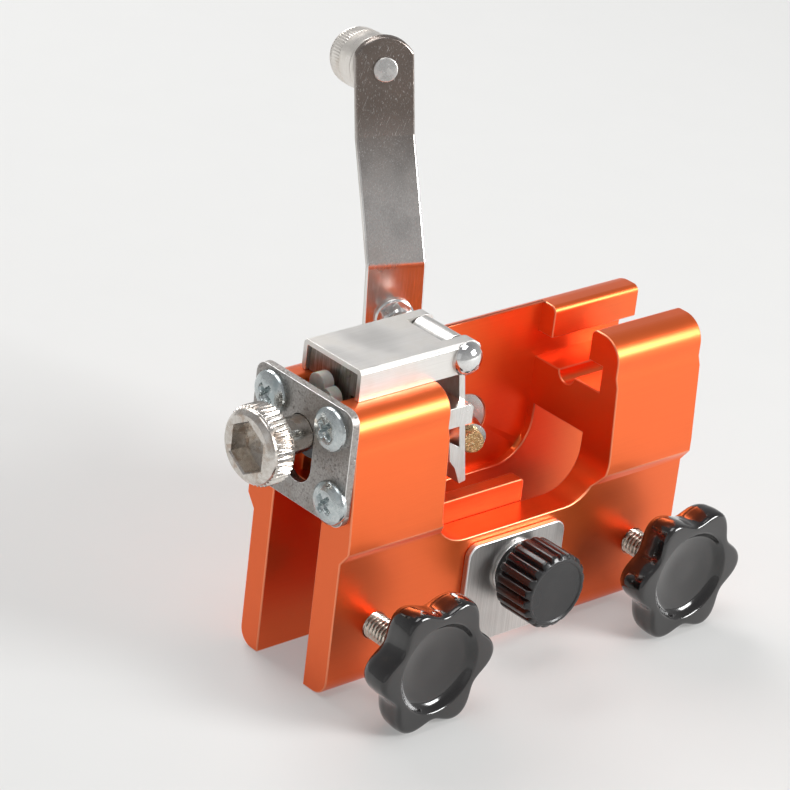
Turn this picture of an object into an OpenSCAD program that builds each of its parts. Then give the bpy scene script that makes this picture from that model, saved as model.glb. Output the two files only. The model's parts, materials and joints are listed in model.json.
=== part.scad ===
// Manual sharpener: a milled body that straddles a guide slot, a pawl on a screw-fed
// carriage and a crank that turns an abrasive rod across the slot.
// X runs along the slot, the clamp knobs are on the -Y side, and the underside is Z = 0.
// The origin is the middle of the underside, on the mid-plane.

/* [Body] */
// Length of the body along the guide slot
body_l = 100; // [90:1:120]
// Height of the body
body_h = 66.4; // [65:0.2:70]
// Half width of the lower flanks
flank_half = 14.3; // [13:0.1:16]
// Half width at the shoulders
shoulder_half = 16.6; // [16:0.1:19]
// Half width under the top rounding
crown_half = 14.9; // [14.6:0.1:15.8]
// Radius of the outer top edges
crown_r = 5.5; // [3:0.1:6]
// Radius of the outer bottom edges
foot_r = 4; // [1:0.1:5]
// Rise of the line where the flanks start to widen over the window sill
shoulder_over = 3.2; // [2:0.1:5]

/* [Guide slot] */
// Front wall of the guide slot, from the mid-plane
slot_front = 7.1; // [6.5:0.1:8]
// Rear wall of the guide slot, from the mid-plane
slot_rear = 8.4; // [7:0.1:9]
// Web between the guide slot and the T-slot floor
web_t = 11.3; // [10:0.1:15]

/* [T-slot] */
// Depth of the T-slot under the body's top
floor_depth = 13.4; // [12.9:0.1:15.4]
// Height of the chamber under the lips
chamber_h = 6; // [5.8:0.1:6.5]
// Half width of the chamber
chamber_half = 10.2; // [9.5:0.1:11]
// Half width of the mouth between the lips
mouth_half = 5.8; // [5.4:0.1:6.5]
// Radius of the groove along the floor
groove_r = 2.4; // [1:0.1:3]

/* [Window] */
// Length of the window between the towers
window_l = 48.5; // [40:0.5:54]
// Left end of the window, from the body's left end
window_start = 26; // [25:0.1:28]
// Drop of the window sill under the crank axis
sill_drop = 12.4; // [10:0.1:13]
// Radius of the window's lower corners
window_r = 9.7; // [5:0.1:12]
// Inner face of the rear wall in the window
window_back = 10.2; // [9.4:0.1:11]

/* [End plate] */
// Thickness of the steel plate
plate_t = 1.9; // [1:0.1:3]
// Half width of the plate
plate_half = 15.6; // [14:0.1:16.4]
// Height of the plate
plate_h = 26.6; // [24:0.1:28]
// How far the plate stands above the body
plate_rise = 1.2; // [0:0.1:3]
// Diameter of the pan heads
pan_d = 9.6; // [8:0.1:10.4]

/* [Adjusting screw] */
// Diameter of the thread
screw_d = 8; // [6:0.1:8]
// Height of the screw axis over the T-slot floor
screw_rise = 4; // [3.9:0.1:4.2]
// Diameter of the knurled head
knurl_d = 17.4; // [14:0.1:20]
// Length of the knurled head
knurl_l = 7; // [6.5:0.1:10]
// Across flats of the hex socket
socket_af = 10; // [6:0.1:11]

/* [Carriage] */
// Left end of the channel, from the body's left end
channel_start = 4.7; // [4.6:0.1:6]
// Length of the channel
channel_l = 33.2; // [32.6:0.1:36]
// Half width of the channel
channel_half = 9.2; // [9:0.1:10]
// Height of the channel
channel_h = 7; // [6.8:0.1:8]
// Wall of the channel
channel_t = 1.2; // [1:0.1:1.6]

/* [Pawl] */
// Lean of the leg
pawl_lean = 9; // [4:1:12]
// Length of the leg below its pin
pawl_l = 33.4; // [32:0.1:33.5]
// Front face of the leg, from the mid-plane
leg_front = 5.6; // [5:0.1:5.7]
// Width of the leg along Y
leg_w = 4.2; // [3:0.1:4.4]
// Diameter of the pin
pin_d = 4; // [3:0.1:4.5]

/* [Crank] */
// Angle between the crank axis and the square across the slot
guide_az = 25; // [20:1:30]
// Drop of the crank axis under the guide slot's roof
axis_drop = 0.3; // [-1:0.1:1.2]
// Where the crank axis crosses the mid-plane, from the window's left end
cross_in = 23.3; // [21:0.1:26]
// Distance from the mid-plane to the arm, along the axis
hub_s = 66.2; // [62:0.1:72]
// Diameter of the drive shaft
shaft_d = 7; // [6:0.1:8]
// Diameter of the abrasive rod
burr_d = 5; // [3:0.1:5.5]
// Outer diameter of the guide bushing
bushing_d = 13; // [12:0.1:15]
// Distance from the hub to the grip rivet
crank_r = 53.5; // [50:0.1:60]
// Width of the arm
arm_w = 14; // [12:0.1:16]
// Thickness of the arm
arm_t = 2; // [1.5:0.1:3]
// Lean of the arm at rest
arm_lean = 3; // [0:0.5:15]
// Set of the arm away from the body
arm_set = 14.8; // [5:0.1:16]
// Diameter of the grip roller
grip_d = 14.2; // [10:0.1:16]
// Length of the grip roller
grip_l = 22; // [15:0.5:30]

/* [Clamp knobs] */
// Distance of a clamp screw from the body's end
clamp_inset = 12; // [10:0.1:14]
// Height of the clamp screws
clamp_z = 14.5; // [13:0.1:17]
// Diameter of the clamp screws
clamp_d = 6; // [5:0.1:8]
// Diameter of a star knob
star_d = 31.5; // [26:0.5:34]
// Thickness of a star knob
star_t = 8.4; // [8:0.1:12]
// Number of lobes of a star knob
star_lobes = 6; // [5:1:8]
// Reach of a clamp screw from its tip to the front of its knob
clamp_reach = 30; // [28:0.1:33]
// How much further out the left clamp stands
left_out = 2.3; // [0:0.1:3]

/* [Height stop] */
// Width of the stop plate
stop_w = 28; // [22:0.5:32]
// Drop of the stop plate's top edge under the window sill
stop_drop = 1.7; // [0.5:0.1:6]
// Thickness of the stop plate
stop_t = 1.6; // [1:0.1:2.5]
// Drop of the stop screw under the stop plate's top edge
stop_in = 8.1; // [7:0.1:9]
// Diameter of the fluted knob
flute_d = 17.5; // [15:0.1:20]
// Number of flutes
flute_count = 20; // [12:1:28]
// Thickness of the inner stop block
block_t = 3.6; // [2:0.1:4]
// Rise of the inner block's top over the window sill at rest
block_over = 5.4; // [4.5:0.1:5.8]

/* [Hidden] */

$fn = 96;
// Overrun of cuts, running fit on a radius, gap between sliding faces, gap beside a pivot
over = 0.5;
fit = 0.04;
slip = 0.05;
gap = 0.3;
arc_steps = 10;

// Body
left_x = -body_l / 2;
floor_z = body_h - floor_depth;
slot_h = floor_z - web_t;
axis_z = slot_h - axis_drop;
sill_z = axis_z - sill_drop;
shoulder_z = sill_z + shoulder_over;
shoulder_rise = 3;
taper_run = 2.8;
taper_z = shoulder_z + shoulder_rise + taper_run;
crown_step = 0.7;
step_rise = 2;
lip_z = floor_z + chamber_h;
step_z = lip_z - shoulder_rise;
lip_r = 1.6;
window_x0 = left_x + window_start;
cross_x = window_x0 + cross_in;
relief_r = 4.2;
relief_depth = 7.1;

// End plate and its screws
plate_top = body_h + plate_rise;
plate_z = plate_top - plate_h;
plate_r = 3;
pan_h = 2.6;
pan_lip = 0.8;
pan_side = 5.9;
pan_drop = 5.3;
pan_shank_d = 5;
pan_shank_l = 12;
lower_out = 2.1;
pan_places = [[plate_half - pan_side, plate_top - pan_drop],
              [plate_half - pan_side + lower_out, plate_z + pan_drop]];
cross_w = 1.3;
cross_l = 5;
cross_depth = 1.7;

// Adjusting screw
screw_z = floor_z + screw_rise;
screw_neck = 7.5;
knurl_x = left_x - plate_t - screw_neck;
knurl_count = 44;
knurl_depth = 0.55;
knurl_chamfer = 0.8;
socket_depth = 4.8;
ring_d = 12;
ring_t = 1;
ring_seat_d = 6.4;
lobe_r = 2.4;
keeper_side = 0.6;
keeper_rise = 3.2;
keeper_step = 0.9;
screw_tip_back = 3;

// Carriage
channel_x = left_x + channel_start;
channel_z = body_h + slip;
channel_top = channel_z + channel_h;
channel_bevel = 0.8;
notch_l = 8.3;
notch_half = 5.7;
ear_r = 2.4;
pin_inset = 3.9;
pin_rise = 3.5;
pin_x = channel_x + channel_l - pin_inset;
pin_z = channel_z + pin_rise;
block_lead = 0.8;
slide_past = 1.65;
block_end = window_x0 + slide_past;
dome_d = 7.6;
dome_h = 2.8;
tail_d = 6.4;
tail_h = 0.8;

// Pawl, in its own frame with the pin at the origin
head_r = 3.6;
head_left = 3.4;
head_half = notch_half - gap;
leg_right = 2.8;
leg_t = 1.6;
lug_half = 8.6;
lug_l = 10.4;
lug_h = 4.7;
lug_drop = 11.95;
lug_bevel = 0.8;

// Crank
bushing_recess = 3;
bushing_in = window_back / cos(guide_az) + bushing_recess;
bushing_l = 22;
bushing_out = bushing_in + bushing_l;
washer_t = 1;
washer_d = 12;
shoulder_d = 11;
shoulder_l = 4;
stud_d = 5;
burr_tip = 1.2;
burr_l = 10;
burr_shank_d = 3.2;
burr_shank_l = 14;
shaft_in = 3.6;
grub_d = 3;
grub_in = 6;
nut_af = 7.5;
nut_h = 3.6;
nut_flange_d = 9.6;
nut_flange_t = 1.2;
outer_nut_af = 8;
outer_nut_h = 4;
arm_low = 12.7;
arm_bend = 3;
arm_slope = 30;
arm_top = 7.5;
arm_top_r = 8.1;
arm_end_r = 4.6;
tip_lean = 14;
rivet_d = 5;
rivet_head_d = 5.8;
rivet_head_h = 0.7;
rivet_far_d = 8.4;
rivet_far_t = 1.6;
grip_r = 1.2;

// Clamps
pad_face = 0.9;
pad_t = 2.2;
pad_d = 10;
pivot_d = 3;
pivot_l = 1.2;
star_depth_share = 0.1;
star_neck_d = 13;
star_neck_l = 1;
star_dish_d = 20;
star_dish_t = 3.2;
star_edge = 1.4;
star_points = 96;
stud_in_knob = 3.6;

// Height stop
stop_r = 3;
stop_play = 0.2;
stop_travel = 2;
plate_low = 2.6;
stop_h = sill_z - stop_drop - plate_low;
stop_z = plate_low + stop_h - stop_in;
block_w = 27.5;
block_x = 8.5;
block_drop = 10.8;
block_top = sill_z + block_over;
block_h = block_top - stop_z + block_drop;
block_r = 1;
stop_d = 6;
stop_stud_l = 21;
stop_washer_d = 13;
stop_washer_t = 0.8;
knob_l = 12.6;
collar_d = 13;
collar_l = 2;
flute_r = 0.6;
flute_chamfer = 0.8;
knob_bore_l = 11.2;

function arc(cx, cy, r, a0, a1) =
    [for (i = [0:arc_steps]) let (a = a0 + (a1 - a0) * i / arc_steps)
        [cx + r * cos(a), cy + r * sin(a)]];
function mirrored(points) =
    concat(points, [for (i = [len(points) - 1:-1:0]) [-points[i][0], points[i][1]]]);

// Turns a drawing in the Y-Z plane into a prism along X
module along_x(x, l) {
    translate([x, 0, 0]) rotate([90, 0, 90]) linear_extrude(l) children();
}

// Turns a drawing in the X-Z plane into a prism along Y, from y towards +Y
module along_y(y, l) {
    translate([0, y + l, 0]) rotate([90, 0, 0]) linear_extrude(l) children();
}

// Places a turned piece with its own +Z along -Y, from a point
module facing_front(x, y, z) {
    translate([x, y, z]) rotate([90, 0, 0]) children();
}

// Places a piece on the crank axis, at a distance from the mid-plane
module on_axis(s) {
    translate([cross_x, 0, axis_z]) rotate([0, 0, -guide_az]) rotate([-90, 0, 0])
        translate([0, 0, s]) children();
}

// Rectangle from a corner, with rounded corners
module rounded(x, y, w, h, r) {
    polygon(concat(arc(x + w - r, y + r, r, -90, 0), arc(x + w - r, y + h - r, r, 0, 90),
                   arc(x + r, y + h - r, r, 90, 180), arc(x + r, y + r, r, 180, 270)));
}

module ring(d, bore, h) {
    difference() {
        cylinder(d = d, h = h);
        translate([0, 0, -over]) cylinder(d = bore, h = h + 2 * over);
    }
}

// Hexagonal prism by its width across flats
module hexagon(af, h) {
    cylinder(d = af / cos(30), h = h, $fn = 6);
}

// Body
function half_outline() = concat(
    arc(flank_half - foot_r, foot_r, foot_r, -90, 0),
    [[flank_half, shoulder_z], [shoulder_half, shoulder_z + shoulder_rise],
     [shoulder_half, taper_z], [crown_half + crown_step, step_z],
     [crown_half, step_z + step_rise]],
    arc(crown_half - crown_r, body_h - crown_r, crown_r, 0, 90));

module t_slot_outline() {
    translate([-chamber_half, floor_z]) square([2 * chamber_half, chamber_h]);
    translate([-mouth_half, floor_z]) square([2 * mouth_half, body_h - floor_z + over]);
    translate([0, floor_z]) circle(r = groove_r);
    for (side = [0, 1]) mirror([side, 0]) difference() {
        translate([mouth_half - over, body_h - lip_r]) square([lip_r + over, lip_r + over]);
        translate([mouth_half + lip_r, body_h - lip_r]) circle(r = lip_r);
    }
}

module body_outline() {
    difference() {
        polygon(mirrored(half_outline()));
        translate([-slot_front, -over]) square([slot_front + slot_rear, slot_h + over]);
        t_slot_outline();
    }
}

module window_outline() {
    rounded(window_x0, sill_z, window_l, body_h, window_r);
}

module stop_slot() {
    slot_r = stop_d / 2 + stop_play;
    facing_front(0, -slot_front + over, stop_z)
        for (z = [-stop_travel, stop_travel]) translate([0, z, 0])
            cylinder(r = slot_r, h = flank_half - slot_front + 2 * over);
    translate([-slot_r, -flank_half - over, stop_z - stop_travel])
        cube([2 * slot_r, flank_half - slot_front + 2 * over, 2 * stop_travel]);
}

module pan_holes() {
    for (side = [-1, 1], p = pan_places)
        translate([left_x - over, side * p[0], p[1]]) rotate([0, 90, 0])
            cylinder(d = pan_shank_d, h = pan_shank_l + over);
}

module body() {
    color("orangered") difference() {
        along_x(left_x, body_l) body_outline();
        along_y(-shoulder_half - over, shoulder_half + window_back + over) window_outline();
        for (x = [-1, 1]) facing_front(x * (body_l / 2 - clamp_inset), -slot_front + over, clamp_z)
            cylinder(d = clamp_d + 2 * fit, h = flank_half - slot_front + 2 * over);
        stop_slot();
        on_axis(slot_rear) cylinder(d = bushing_d, h = bushing_out);
        pan_holes();
        translate([left_x, 0, floor_z - relief_depth]) cylinder(r = relief_r, h = relief_depth + over);
        translate([left_x - over, 0, screw_z]) rotate([0, 90, 0])
            cylinder(d = ring_d + 2 * gap, h = over + ring_t + 2 * gap);
    }
}

// End plate
module plate_slot() {
    low = floor_z - relief_depth + relief_r;
    for (z = [low, screw_z]) translate([0, z]) circle(r = relief_r);
    translate([-relief_r, low]) square([2 * relief_r, screw_z - low]);
}

module end_plate() {
    color("silver") difference() {
        along_x(left_x - plate_t, plate_t) difference() {
            rounded(-plate_half, plate_z, 2 * plate_half, plate_h, plate_r);
            plate_slot();
        }
        translate([-plate_t, 0, 0]) pan_holes();
    }
}

// Pan-head screw with a cross recess, head towards +Z and seat at Z = 0
module pan_screw() {
    difference() {
        union() {
            rotate_extrude() polygon(concat(
                [[0, 0], [pan_d / 2, 0], [pan_d / 2, pan_lip]],
                [for (i = [1:arc_steps]) let (a = 90 * i / arc_steps)
                    [pan_d / 2 * cos(a), pan_lip + (pan_h - pan_lip) * sin(a)]]));
            translate([0, 0, -pan_shank_l]) cylinder(d = pan_shank_d, h = pan_shank_l);
        }
        for (a = [0, 90]) rotate([0, 0, a + 45])
            translate([-cross_l / 2, -cross_w / 2, pan_h - cross_depth])
                cube([cross_l, cross_w, pan_h]);
    }
}

module end_plate_screws() {
    color("gainsboro") for (side = [-1, 1], p = pan_places)
        translate([left_x - plate_t, side * p[0], p[1]]) rotate([0, -90, 0]) pan_screw();
}

// Keeper over the adjusting screw, in the mouth of the T-slot
module nylon_keeper() {
    x = left_x + ring_t + 2 * gap;
    l = channel_start - ring_t - 3 * gap;
    lobes = [[keeper_side, body_h + keeper_rise - lobe_r], [-lobe_r, body_h + keeper_step - lobe_r]];
    color("ivory") along_x(x, l) difference() {
        union() {
            translate([-mouth_half + slip, screw_z]) square([2 * (mouth_half - slip), body_h - lip_r - screw_z]);
            for (p = lobes) translate([p[0] - lobe_r, body_h - 2 * lip_r])
                square([2 * lobe_r, p[1] - body_h + 2 * lip_r]);
            for (p = lobes) translate(p) circle(r = lobe_r);
        }
        translate([0, screw_z]) circle(d = screw_d + 2 * slip);
    }
}

// Adjusting screw, turned about X, from the face of its head
module knurled_head() {
    core_r = knurl_d / 2 - knurl_depth;
    root_r = core_r - knurl_depth / 2;
    rotate_extrude() polygon([
        [0, 0], [core_r - knurl_chamfer, 0], [core_r, knurl_chamfer],
        [core_r, knurl_l - knurl_chamfer], [core_r - knurl_chamfer, knurl_l], [0, knurl_l]]);
    translate([0, 0, 2 * knurl_chamfer]) linear_extrude(knurl_l - 3 * knurl_chamfer)
        polygon([for (i = [0:2 * knurl_count - 1])
            let (a = 180 * i / knurl_count, r = i % 2 == 0 ? knurl_d / 2 : root_r)
                [r * cos(a), r * sin(a)]]);
}

module adjuster_screw() {
    tip_x = block_end - screw_tip_back;
    color("tan") difference() {
        union() {
            translate([knurl_x - knurl_l, 0, screw_z]) rotate([0, 90, 0]) knurled_head();
            translate([knurl_x - over, 0, screw_z]) rotate([0, 90, 0])
                cylinder(d = screw_d, h = tip_x - knurl_x + over);
        }
        translate([knurl_x - knurl_l - over, 0, screw_z]) rotate([0, 90, 0])
            hexagon(socket_af, socket_depth + over);
        translate([left_x + gap, 0, screw_z]) rotate([0, 90, 0])
            ring(screw_d + over, ring_seat_d, ring_t);
    }
}

module adjuster_retaining_ring() {
    color("dimgray") translate([left_x + gap + slip / 2, 0, screw_z]) rotate([0, 90, 0])
        ring(ring_d, ring_seat_d + 2 * slip, ring_t - slip);
}

// Carriage
module channel_outline() {
    polygon(mirrored([
        [channel_half - channel_t, channel_z], [channel_half, channel_z],
        [channel_half, channel_top - channel_bevel], [channel_half - channel_bevel, channel_top]]));
}

module carriage_channel() {
    color("silver") difference() {
        along_x(channel_x, channel_l) channel_outline();
        translate([channel_x - over, -channel_half + channel_t, channel_z - over])
            cube([channel_l + 2 * over, 2 * (channel_half - channel_t), channel_h - channel_t + over]);
        translate([channel_x + channel_l - notch_l, -notch_half, channel_z])
            cube([notch_l + over, 2 * notch_half, channel_h + over]);
        along_y(-channel_half - over, 2 * (channel_half + over)) difference() {
            translate([channel_x + channel_l - ear_r, channel_top - ear_r]) square(ear_r + over);
            translate([channel_x + channel_l - ear_r, channel_top - ear_r]) circle(r = ear_r);
        }
        facing_front(pin_x, channel_half + over, pin_z)
            cylinder(d = pin_d + 2 * slip, h = 2 * (channel_half + over));
    }
}

module slide_block() {
    x = channel_x + block_lead;
    inner = channel_half - channel_t - slip;
    cap_end = channel_x + channel_l - notch_l - gap;
    color("slategray") difference() {
        union() {
            along_x(x, block_end - x) {
                translate([-chamber_half + gap, floor_z + gap])
                    square([2 * (chamber_half - gap), chamber_h - 2 * gap]);
                translate([-mouth_half + slip, floor_z + gap])
                    square([2 * (mouth_half - slip), body_h - floor_z]);
            }
            translate([x, -inner, body_h + slip])
                cube([min(cap_end, block_end) - x, 2 * inner, channel_h - channel_t - slip]);
        }
        translate([x - over, 0, screw_z]) rotate([0, 90, 0])
            cylinder(d = screw_d + 2 * fit, h = block_end - x + 2 * over);
    }
}

// Head of a pin or rivet, a quarter ellipse turned about +Z
module dome(d, h) {
    rotate_extrude() polygon(concat([[0, 0]],
        [for (i = [0:arc_steps]) let (a = 90 * i / arc_steps)
            [d / 2 * cos(a), h * sin(a)]]));
}

module pawl_pin() {
    color("white") {
        facing_front(pin_x, channel_half, pin_z) cylinder(d = pin_d, h = 2 * channel_half);
        facing_front(pin_x, -channel_half, pin_z) dome(dome_d, dome_h);
        translate([pin_x, channel_half, pin_z]) rotate([-90, 0, 0]) dome(tail_d, tail_h);
    }
}

// Pawl: a round-backed head, a leaning leg, a cross lug and a hooked foot
module pawl_head_outline() {
    intersection() {
        circle(r = head_r);
        translate([-head_left, -head_r]) square([head_left + leg_right, 2 * head_r]);
    }
}

module leg_outline(l) {
    translate([leg_right - leg_t, -l]) square([leg_t, l]);
}

module foot_outline() {
    nose_share = [0.66, 0.8];
    hook_share = 0.87;
    polygon(concat(
        [[leg_right, -pawl_l], [leg_right, -pawl_l * nose_share[0]],
         [leg_right - leg_t, -pawl_l * (nose_share[0] + nose_share[1]) / 2],
         [-leg_t, -pawl_l * nose_share[0]], [-leg_t, -pawl_l * nose_share[1]]],
        [[-leg_t / 8, -pawl_l * hook_share], [leg_t * 0.6, -pawl_l]]));
}

module pawl() {
    lug_x = leg_right - lug_l;
    color("whitesmoke") difference() {
        translate([pin_x, 0, pin_z]) {
            rotate([0, -pawl_lean, 0]) {
                along_y(-head_half, 2 * head_half) {
                    pawl_head_outline();
                    leg_outline(lug_drop + lug_h / 2);
                }
                along_y(-leg_front, leg_w) {
                    leg_outline(pawl_l - leg_t);
                    foot_outline();
                }
            }
            along_y(-lug_half, 2 * lug_half) translate([lug_drop * sin(pawl_lean), 0])
                polygon([[lug_x, -lug_drop - lug_h], [leg_right, -lug_drop - lug_h],
                         [leg_right, -lug_drop - lug_bevel], [leg_right - lug_bevel, -lug_drop],
                         [lug_x, -lug_drop]]);
        }
        facing_front(pin_x, head_half + over, pin_z)
            cylinder(d = pin_d + 2 * fit, h = 2 * (head_half + over));
    }
}

// Guide bushing, pressed in the rear wall
module guide_bushing() {
    color("darkgray") on_axis(bushing_in) ring(bushing_d, shaft_d + 2 * fit, bushing_l);
}

module thrust_washer() {
    color("silver") on_axis(bushing_out + slip) ring(washer_d, shaft_d + 2 * fit, washer_t);
}

module drive_shaft() {
    shoulder_s = bushing_out + washer_t + 2 * slip;
    neck_s = hub_s - arm_t / 2 - nut_flange_t - nut_h - gap;
    color("silver") difference() {
        union() {
            on_axis(shaft_in) cylinder(d = shaft_d, h = neck_s - shaft_in);
            on_axis(shoulder_s) cylinder(d = shoulder_d, h = shoulder_l);
            on_axis(neck_s - over) cylinder(d = stud_d, h = hub_s + arm_t + outer_nut_h - neck_s + over);
        }
        on_axis(shaft_in - over) cylinder(d = burr_shank_d + slip, h = burr_shank_l + over);
        on_axis(shaft_in + grub_in) rotate([-90, 0, 0]) cylinder(d = grub_d, h = shaft_d);
    }
}

module burr() {
    color("darkgoldenrod") {
        on_axis(burr_tip) cylinder(d = burr_d, h = shaft_in - burr_tip - slip);
        on_axis(shaft_in - 2 * slip) cylinder(d = burr_shank_d, h = burr_shank_l - slip);
    }
}

module burr_grub_screw() {
    color("black") on_axis(shaft_in + grub_in) rotate([-90, 0, 0])
        translate([0, 0, burr_shank_d / 2 + slip])
            cylinder(d = grub_d - slip, h = (shaft_d - burr_shank_d) / 2 - gap);
}

module hub_nut() {
    nut_s = hub_s - arm_t / 2 - nut_flange_t - nut_h;
    color("silver") difference() {
        union() {
            on_axis(nut_s) hexagon(nut_af, nut_h + over);
            on_axis(nut_s + nut_h) cylinder(d = nut_flange_d, h = nut_flange_t);
        }
        on_axis(nut_s - over) cylinder(d = stud_d, h = nut_h + nut_flange_t + 2 * over);
    }
}

module hub_outer_nut() {
    color("silver") on_axis(hub_s + arm_t / 2) difference() {
        hexagon(outer_nut_af, outer_nut_h);
        translate([0, 0, -over]) cylinder(d = stud_d, h = outer_nut_h + 2 * over);
    }
}

// Crank arm: side view as [height, set, direction] along the middle of the strip
arm_high = arm_low + arm_set / tan(arm_slope);
tip_set = arm_set + (crank_r - arm_high) * tan(tip_lean);

// Rounds the corner at [z, s], where the direction turns from a0 to a1
function bend(z, s, a0, a1) = let (
        side = sign(a1 - a0),
        lead = arm_bend * tan(abs(a1 - a0) / 2),
        centre_z = z - lead * cos(a0) - side * arm_bend * sin(a0),
        centre_s = s - lead * sin(a0) + side * arm_bend * cos(a0))
    [for (i = [0:arc_steps]) let (a = a0 + (a1 - a0) * i / arc_steps)
        [centre_z + side * arm_bend * sin(a), centre_s - side * arm_bend * cos(a), a]];
function arm_path() = concat(
    [[-arm_w, 0, 0]],
    bend(arm_low, 0, 0, arm_slope),
    bend(arm_high, arm_set, arm_slope, tip_lean),
    [[crank_r + arm_w, tip_set + arm_w * tan(tip_lean), tip_lean]]);
function arm_side(half) = [for (p = arm_path())
    [p[0] - half * sin(p[2]), p[1] + half * cos(p[2])]];
function turned_back(points) = [for (i = [len(points) - 1:-1:0]) points[i]];

// Frame of the arm: local +Y up along the arm, +Z away from the body
module on_arm() {
    on_axis(hub_s) rotate([0, 0, 180 - arm_lean]) children();
}

// Frame of the grip: the face of the arm's tip at the rivet, +Z away from the body
module on_grip() {
    on_arm() translate([0, crank_r, tip_set]) rotate([tip_lean, 0, 0])
        children();
}

// Front view of the arm: a strip with round lower corners and an arched top
module arm_outline() {
    arch = crank_r + arm_top - arm_top_r;
    intersection() {
        rounded(-arm_w / 2, -arm_w / 2, arm_w, 2 * arm_w + arch, arm_end_r);
        union() {
            translate([0, arch]) circle(r = arm_top_r);
            translate([-arm_w, -arm_w]) square([2 * arm_w, arm_w + arch]);
        }
    }
}

module crank_arm() {
    color("lightgray") difference() {
        on_arm() intersection() {
            translate([-arm_w, 0, 0]) rotate([90, 0, 90]) linear_extrude(2 * arm_w)
                polygon(concat(arm_side(arm_t / 2), turned_back(arm_side(-arm_t / 2))));
            translate([0, 0, -arm_w]) linear_extrude(3 * arm_w) arm_outline();
        }
        on_axis(hub_s - arm_w) cylinder(d = stud_d, h = 2 * arm_w);
        on_grip() translate([0, 0, -arm_w]) cylinder(d = rivet_d, h = 2 * arm_w);
    }
}

module grip_rivet() {
    color("gainsboro") on_grip() {
        translate([0, 0, -arm_t / 2]) cylinder(d = rivet_d, h = arm_t + grip_l + 2 * gap + rivet_far_t);
        translate([0, 0, -arm_t / 2]) rotate([180, 0, 0]) dome(rivet_head_d, rivet_head_h);
        translate([0, 0, arm_t / 2 + grip_l + 2 * gap]) cylinder(d = rivet_far_d, h = rivet_far_t);
    }
}

module grip_roller() {
    r = grip_d / 2;
    bore = rivet_d / 2 + fit;
    color("antiquewhite") on_grip() translate([0, 0, arm_t / 2 + gap])
        rotate_extrude() polygon(concat(
            [[bore, 0]], arc(r - grip_r, grip_r, grip_r, -90, 0),
            arc(r - grip_r, grip_l - grip_r, grip_r, 0, 90), [[bore, grip_l]]));
}

// Clamps: out is how far the whole clamp stands back from its innermost rest
module clamp_pad(side, out) {
    facing_front(side * (body_l / 2 - clamp_inset), -pad_face - out, clamp_z) difference() {
        cylinder(d = pad_d, h = pad_t);
        translate([0, 0, pad_t - pivot_l - slip]) cylinder(d = pivot_d + 2 * fit, h = pivot_l + slip + over);
    }
}

module clamp_screw(side, out) {
    facing_front(side * (body_l / 2 - clamp_inset), -pad_face - pad_t - out, clamp_z) {
        translate([0, 0, slip]) cylinder(d = clamp_d, h = clamp_reach - star_t + stud_in_knob - slip);
        translate([0, 0, -pivot_l]) cylinder(d = pivot_d, h = pivot_l + over);
    }
}

function star_r(a) = star_d / 2 * (1 - star_depth_share + star_depth_share * cos(star_lobes * a + 180));

module star_knob(side, out) {
    r = star_d / 2;
    facing_front(side * (body_l / 2 - clamp_inset), -pad_face - pad_t - out, clamp_z)
        translate([0, 0, clamp_reach - star_t]) difference() {
            union() {
                intersection() {
                    linear_extrude(star_t) polygon([for (i = [0:star_points - 1])
                        let (a = 360 * i / star_points) star_r(a) * [sin(a), cos(a)]]);
                    rotate_extrude() polygon(concat([[0, 0]],
                        arc(r - star_edge, star_edge, star_edge, -90, 0),
                        arc(r - star_edge, star_t - star_edge, star_edge, 0, 90), [[0, star_t]]));
                }
                translate([0, 0, -star_neck_l]) cylinder(d = star_neck_d, h = star_neck_l + over);
            }
            translate([0, 0, star_t - star_dish_t]) cylinder(d = star_dish_d, h = star_dish_t + over);
            translate([0, 0, -star_neck_l - over]) cylinder(d = clamp_d, h = star_neck_l + stud_in_knob + over);
        }
}

module clamp_pad_left() { color("dimgray") clamp_pad(-1, left_out); }
module clamp_screw_left() { color("gainsboro") clamp_screw(-1, left_out); }
module star_knob_left() { color("black") star_knob(-1, left_out); }
module clamp_pad_right() { color("dimgray") clamp_pad(1, 0); }
module clamp_screw_right() { color("gainsboro") clamp_screw(1, 0); }
module star_knob_right() { color("black") star_knob(1, 0); }

// Height stop
stop_seat = flank_half + slip;

module stop_plate() {
    color("silver") along_y(-stop_seat - stop_t, stop_t) difference() {
        rounded(-stop_w / 2, plate_low, stop_w, stop_h, stop_r);
        translate([0, stop_z]) circle(d = stop_d);
    }
}

module stop_block() {
    color("orangered") difference() {
        along_y(-slot_front + slip, block_t)
            rounded(block_x - block_w, block_top - block_h, block_w, block_h, block_r);
        facing_front(0, -slot_front + block_t + over, stop_z)
            cylinder(d = stop_d, h = block_t + 2 * over);
    }
}

module stop_stud() {
    color("gainsboro") facing_front(0, -slot_front + block_t, stop_z)
        cylinder(d = stop_d, h = stop_stud_l);
}

module stop_washer() {
    color("silver") facing_front(0, -stop_seat - stop_t - slip, stop_z)
        ring(stop_washer_d, stop_d + 2 * fit, stop_washer_t);
}

module stop_knob() {
    r = flute_d / 2;
    color("black") facing_front(0, -stop_seat - stop_t - 2 * slip - stop_washer_t, stop_z) difference() {
        union() {
            cylinder(d = collar_d, h = collar_l + over);
            translate([0, 0, collar_l]) difference() {
                rotate_extrude() polygon([
                    [0, 0], [r - flute_chamfer, 0], [r, flute_chamfer],
                    [r, knob_l - collar_l - flute_chamfer],
                    [r - flute_chamfer, knob_l - collar_l], [0, knob_l - collar_l]]);
                for (i = [0:flute_count - 1]) rotate([0, 0, 360 * i / flute_count])
                    translate([r, 0, -over]) cylinder(r = flute_r, h = knob_l + 2 * over, $fn = 24);
            }
        }
        translate([0, 0, -over]) cylinder(d = stop_d + 2 * fit, h = knob_bore_l + over);
    }
}

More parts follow.
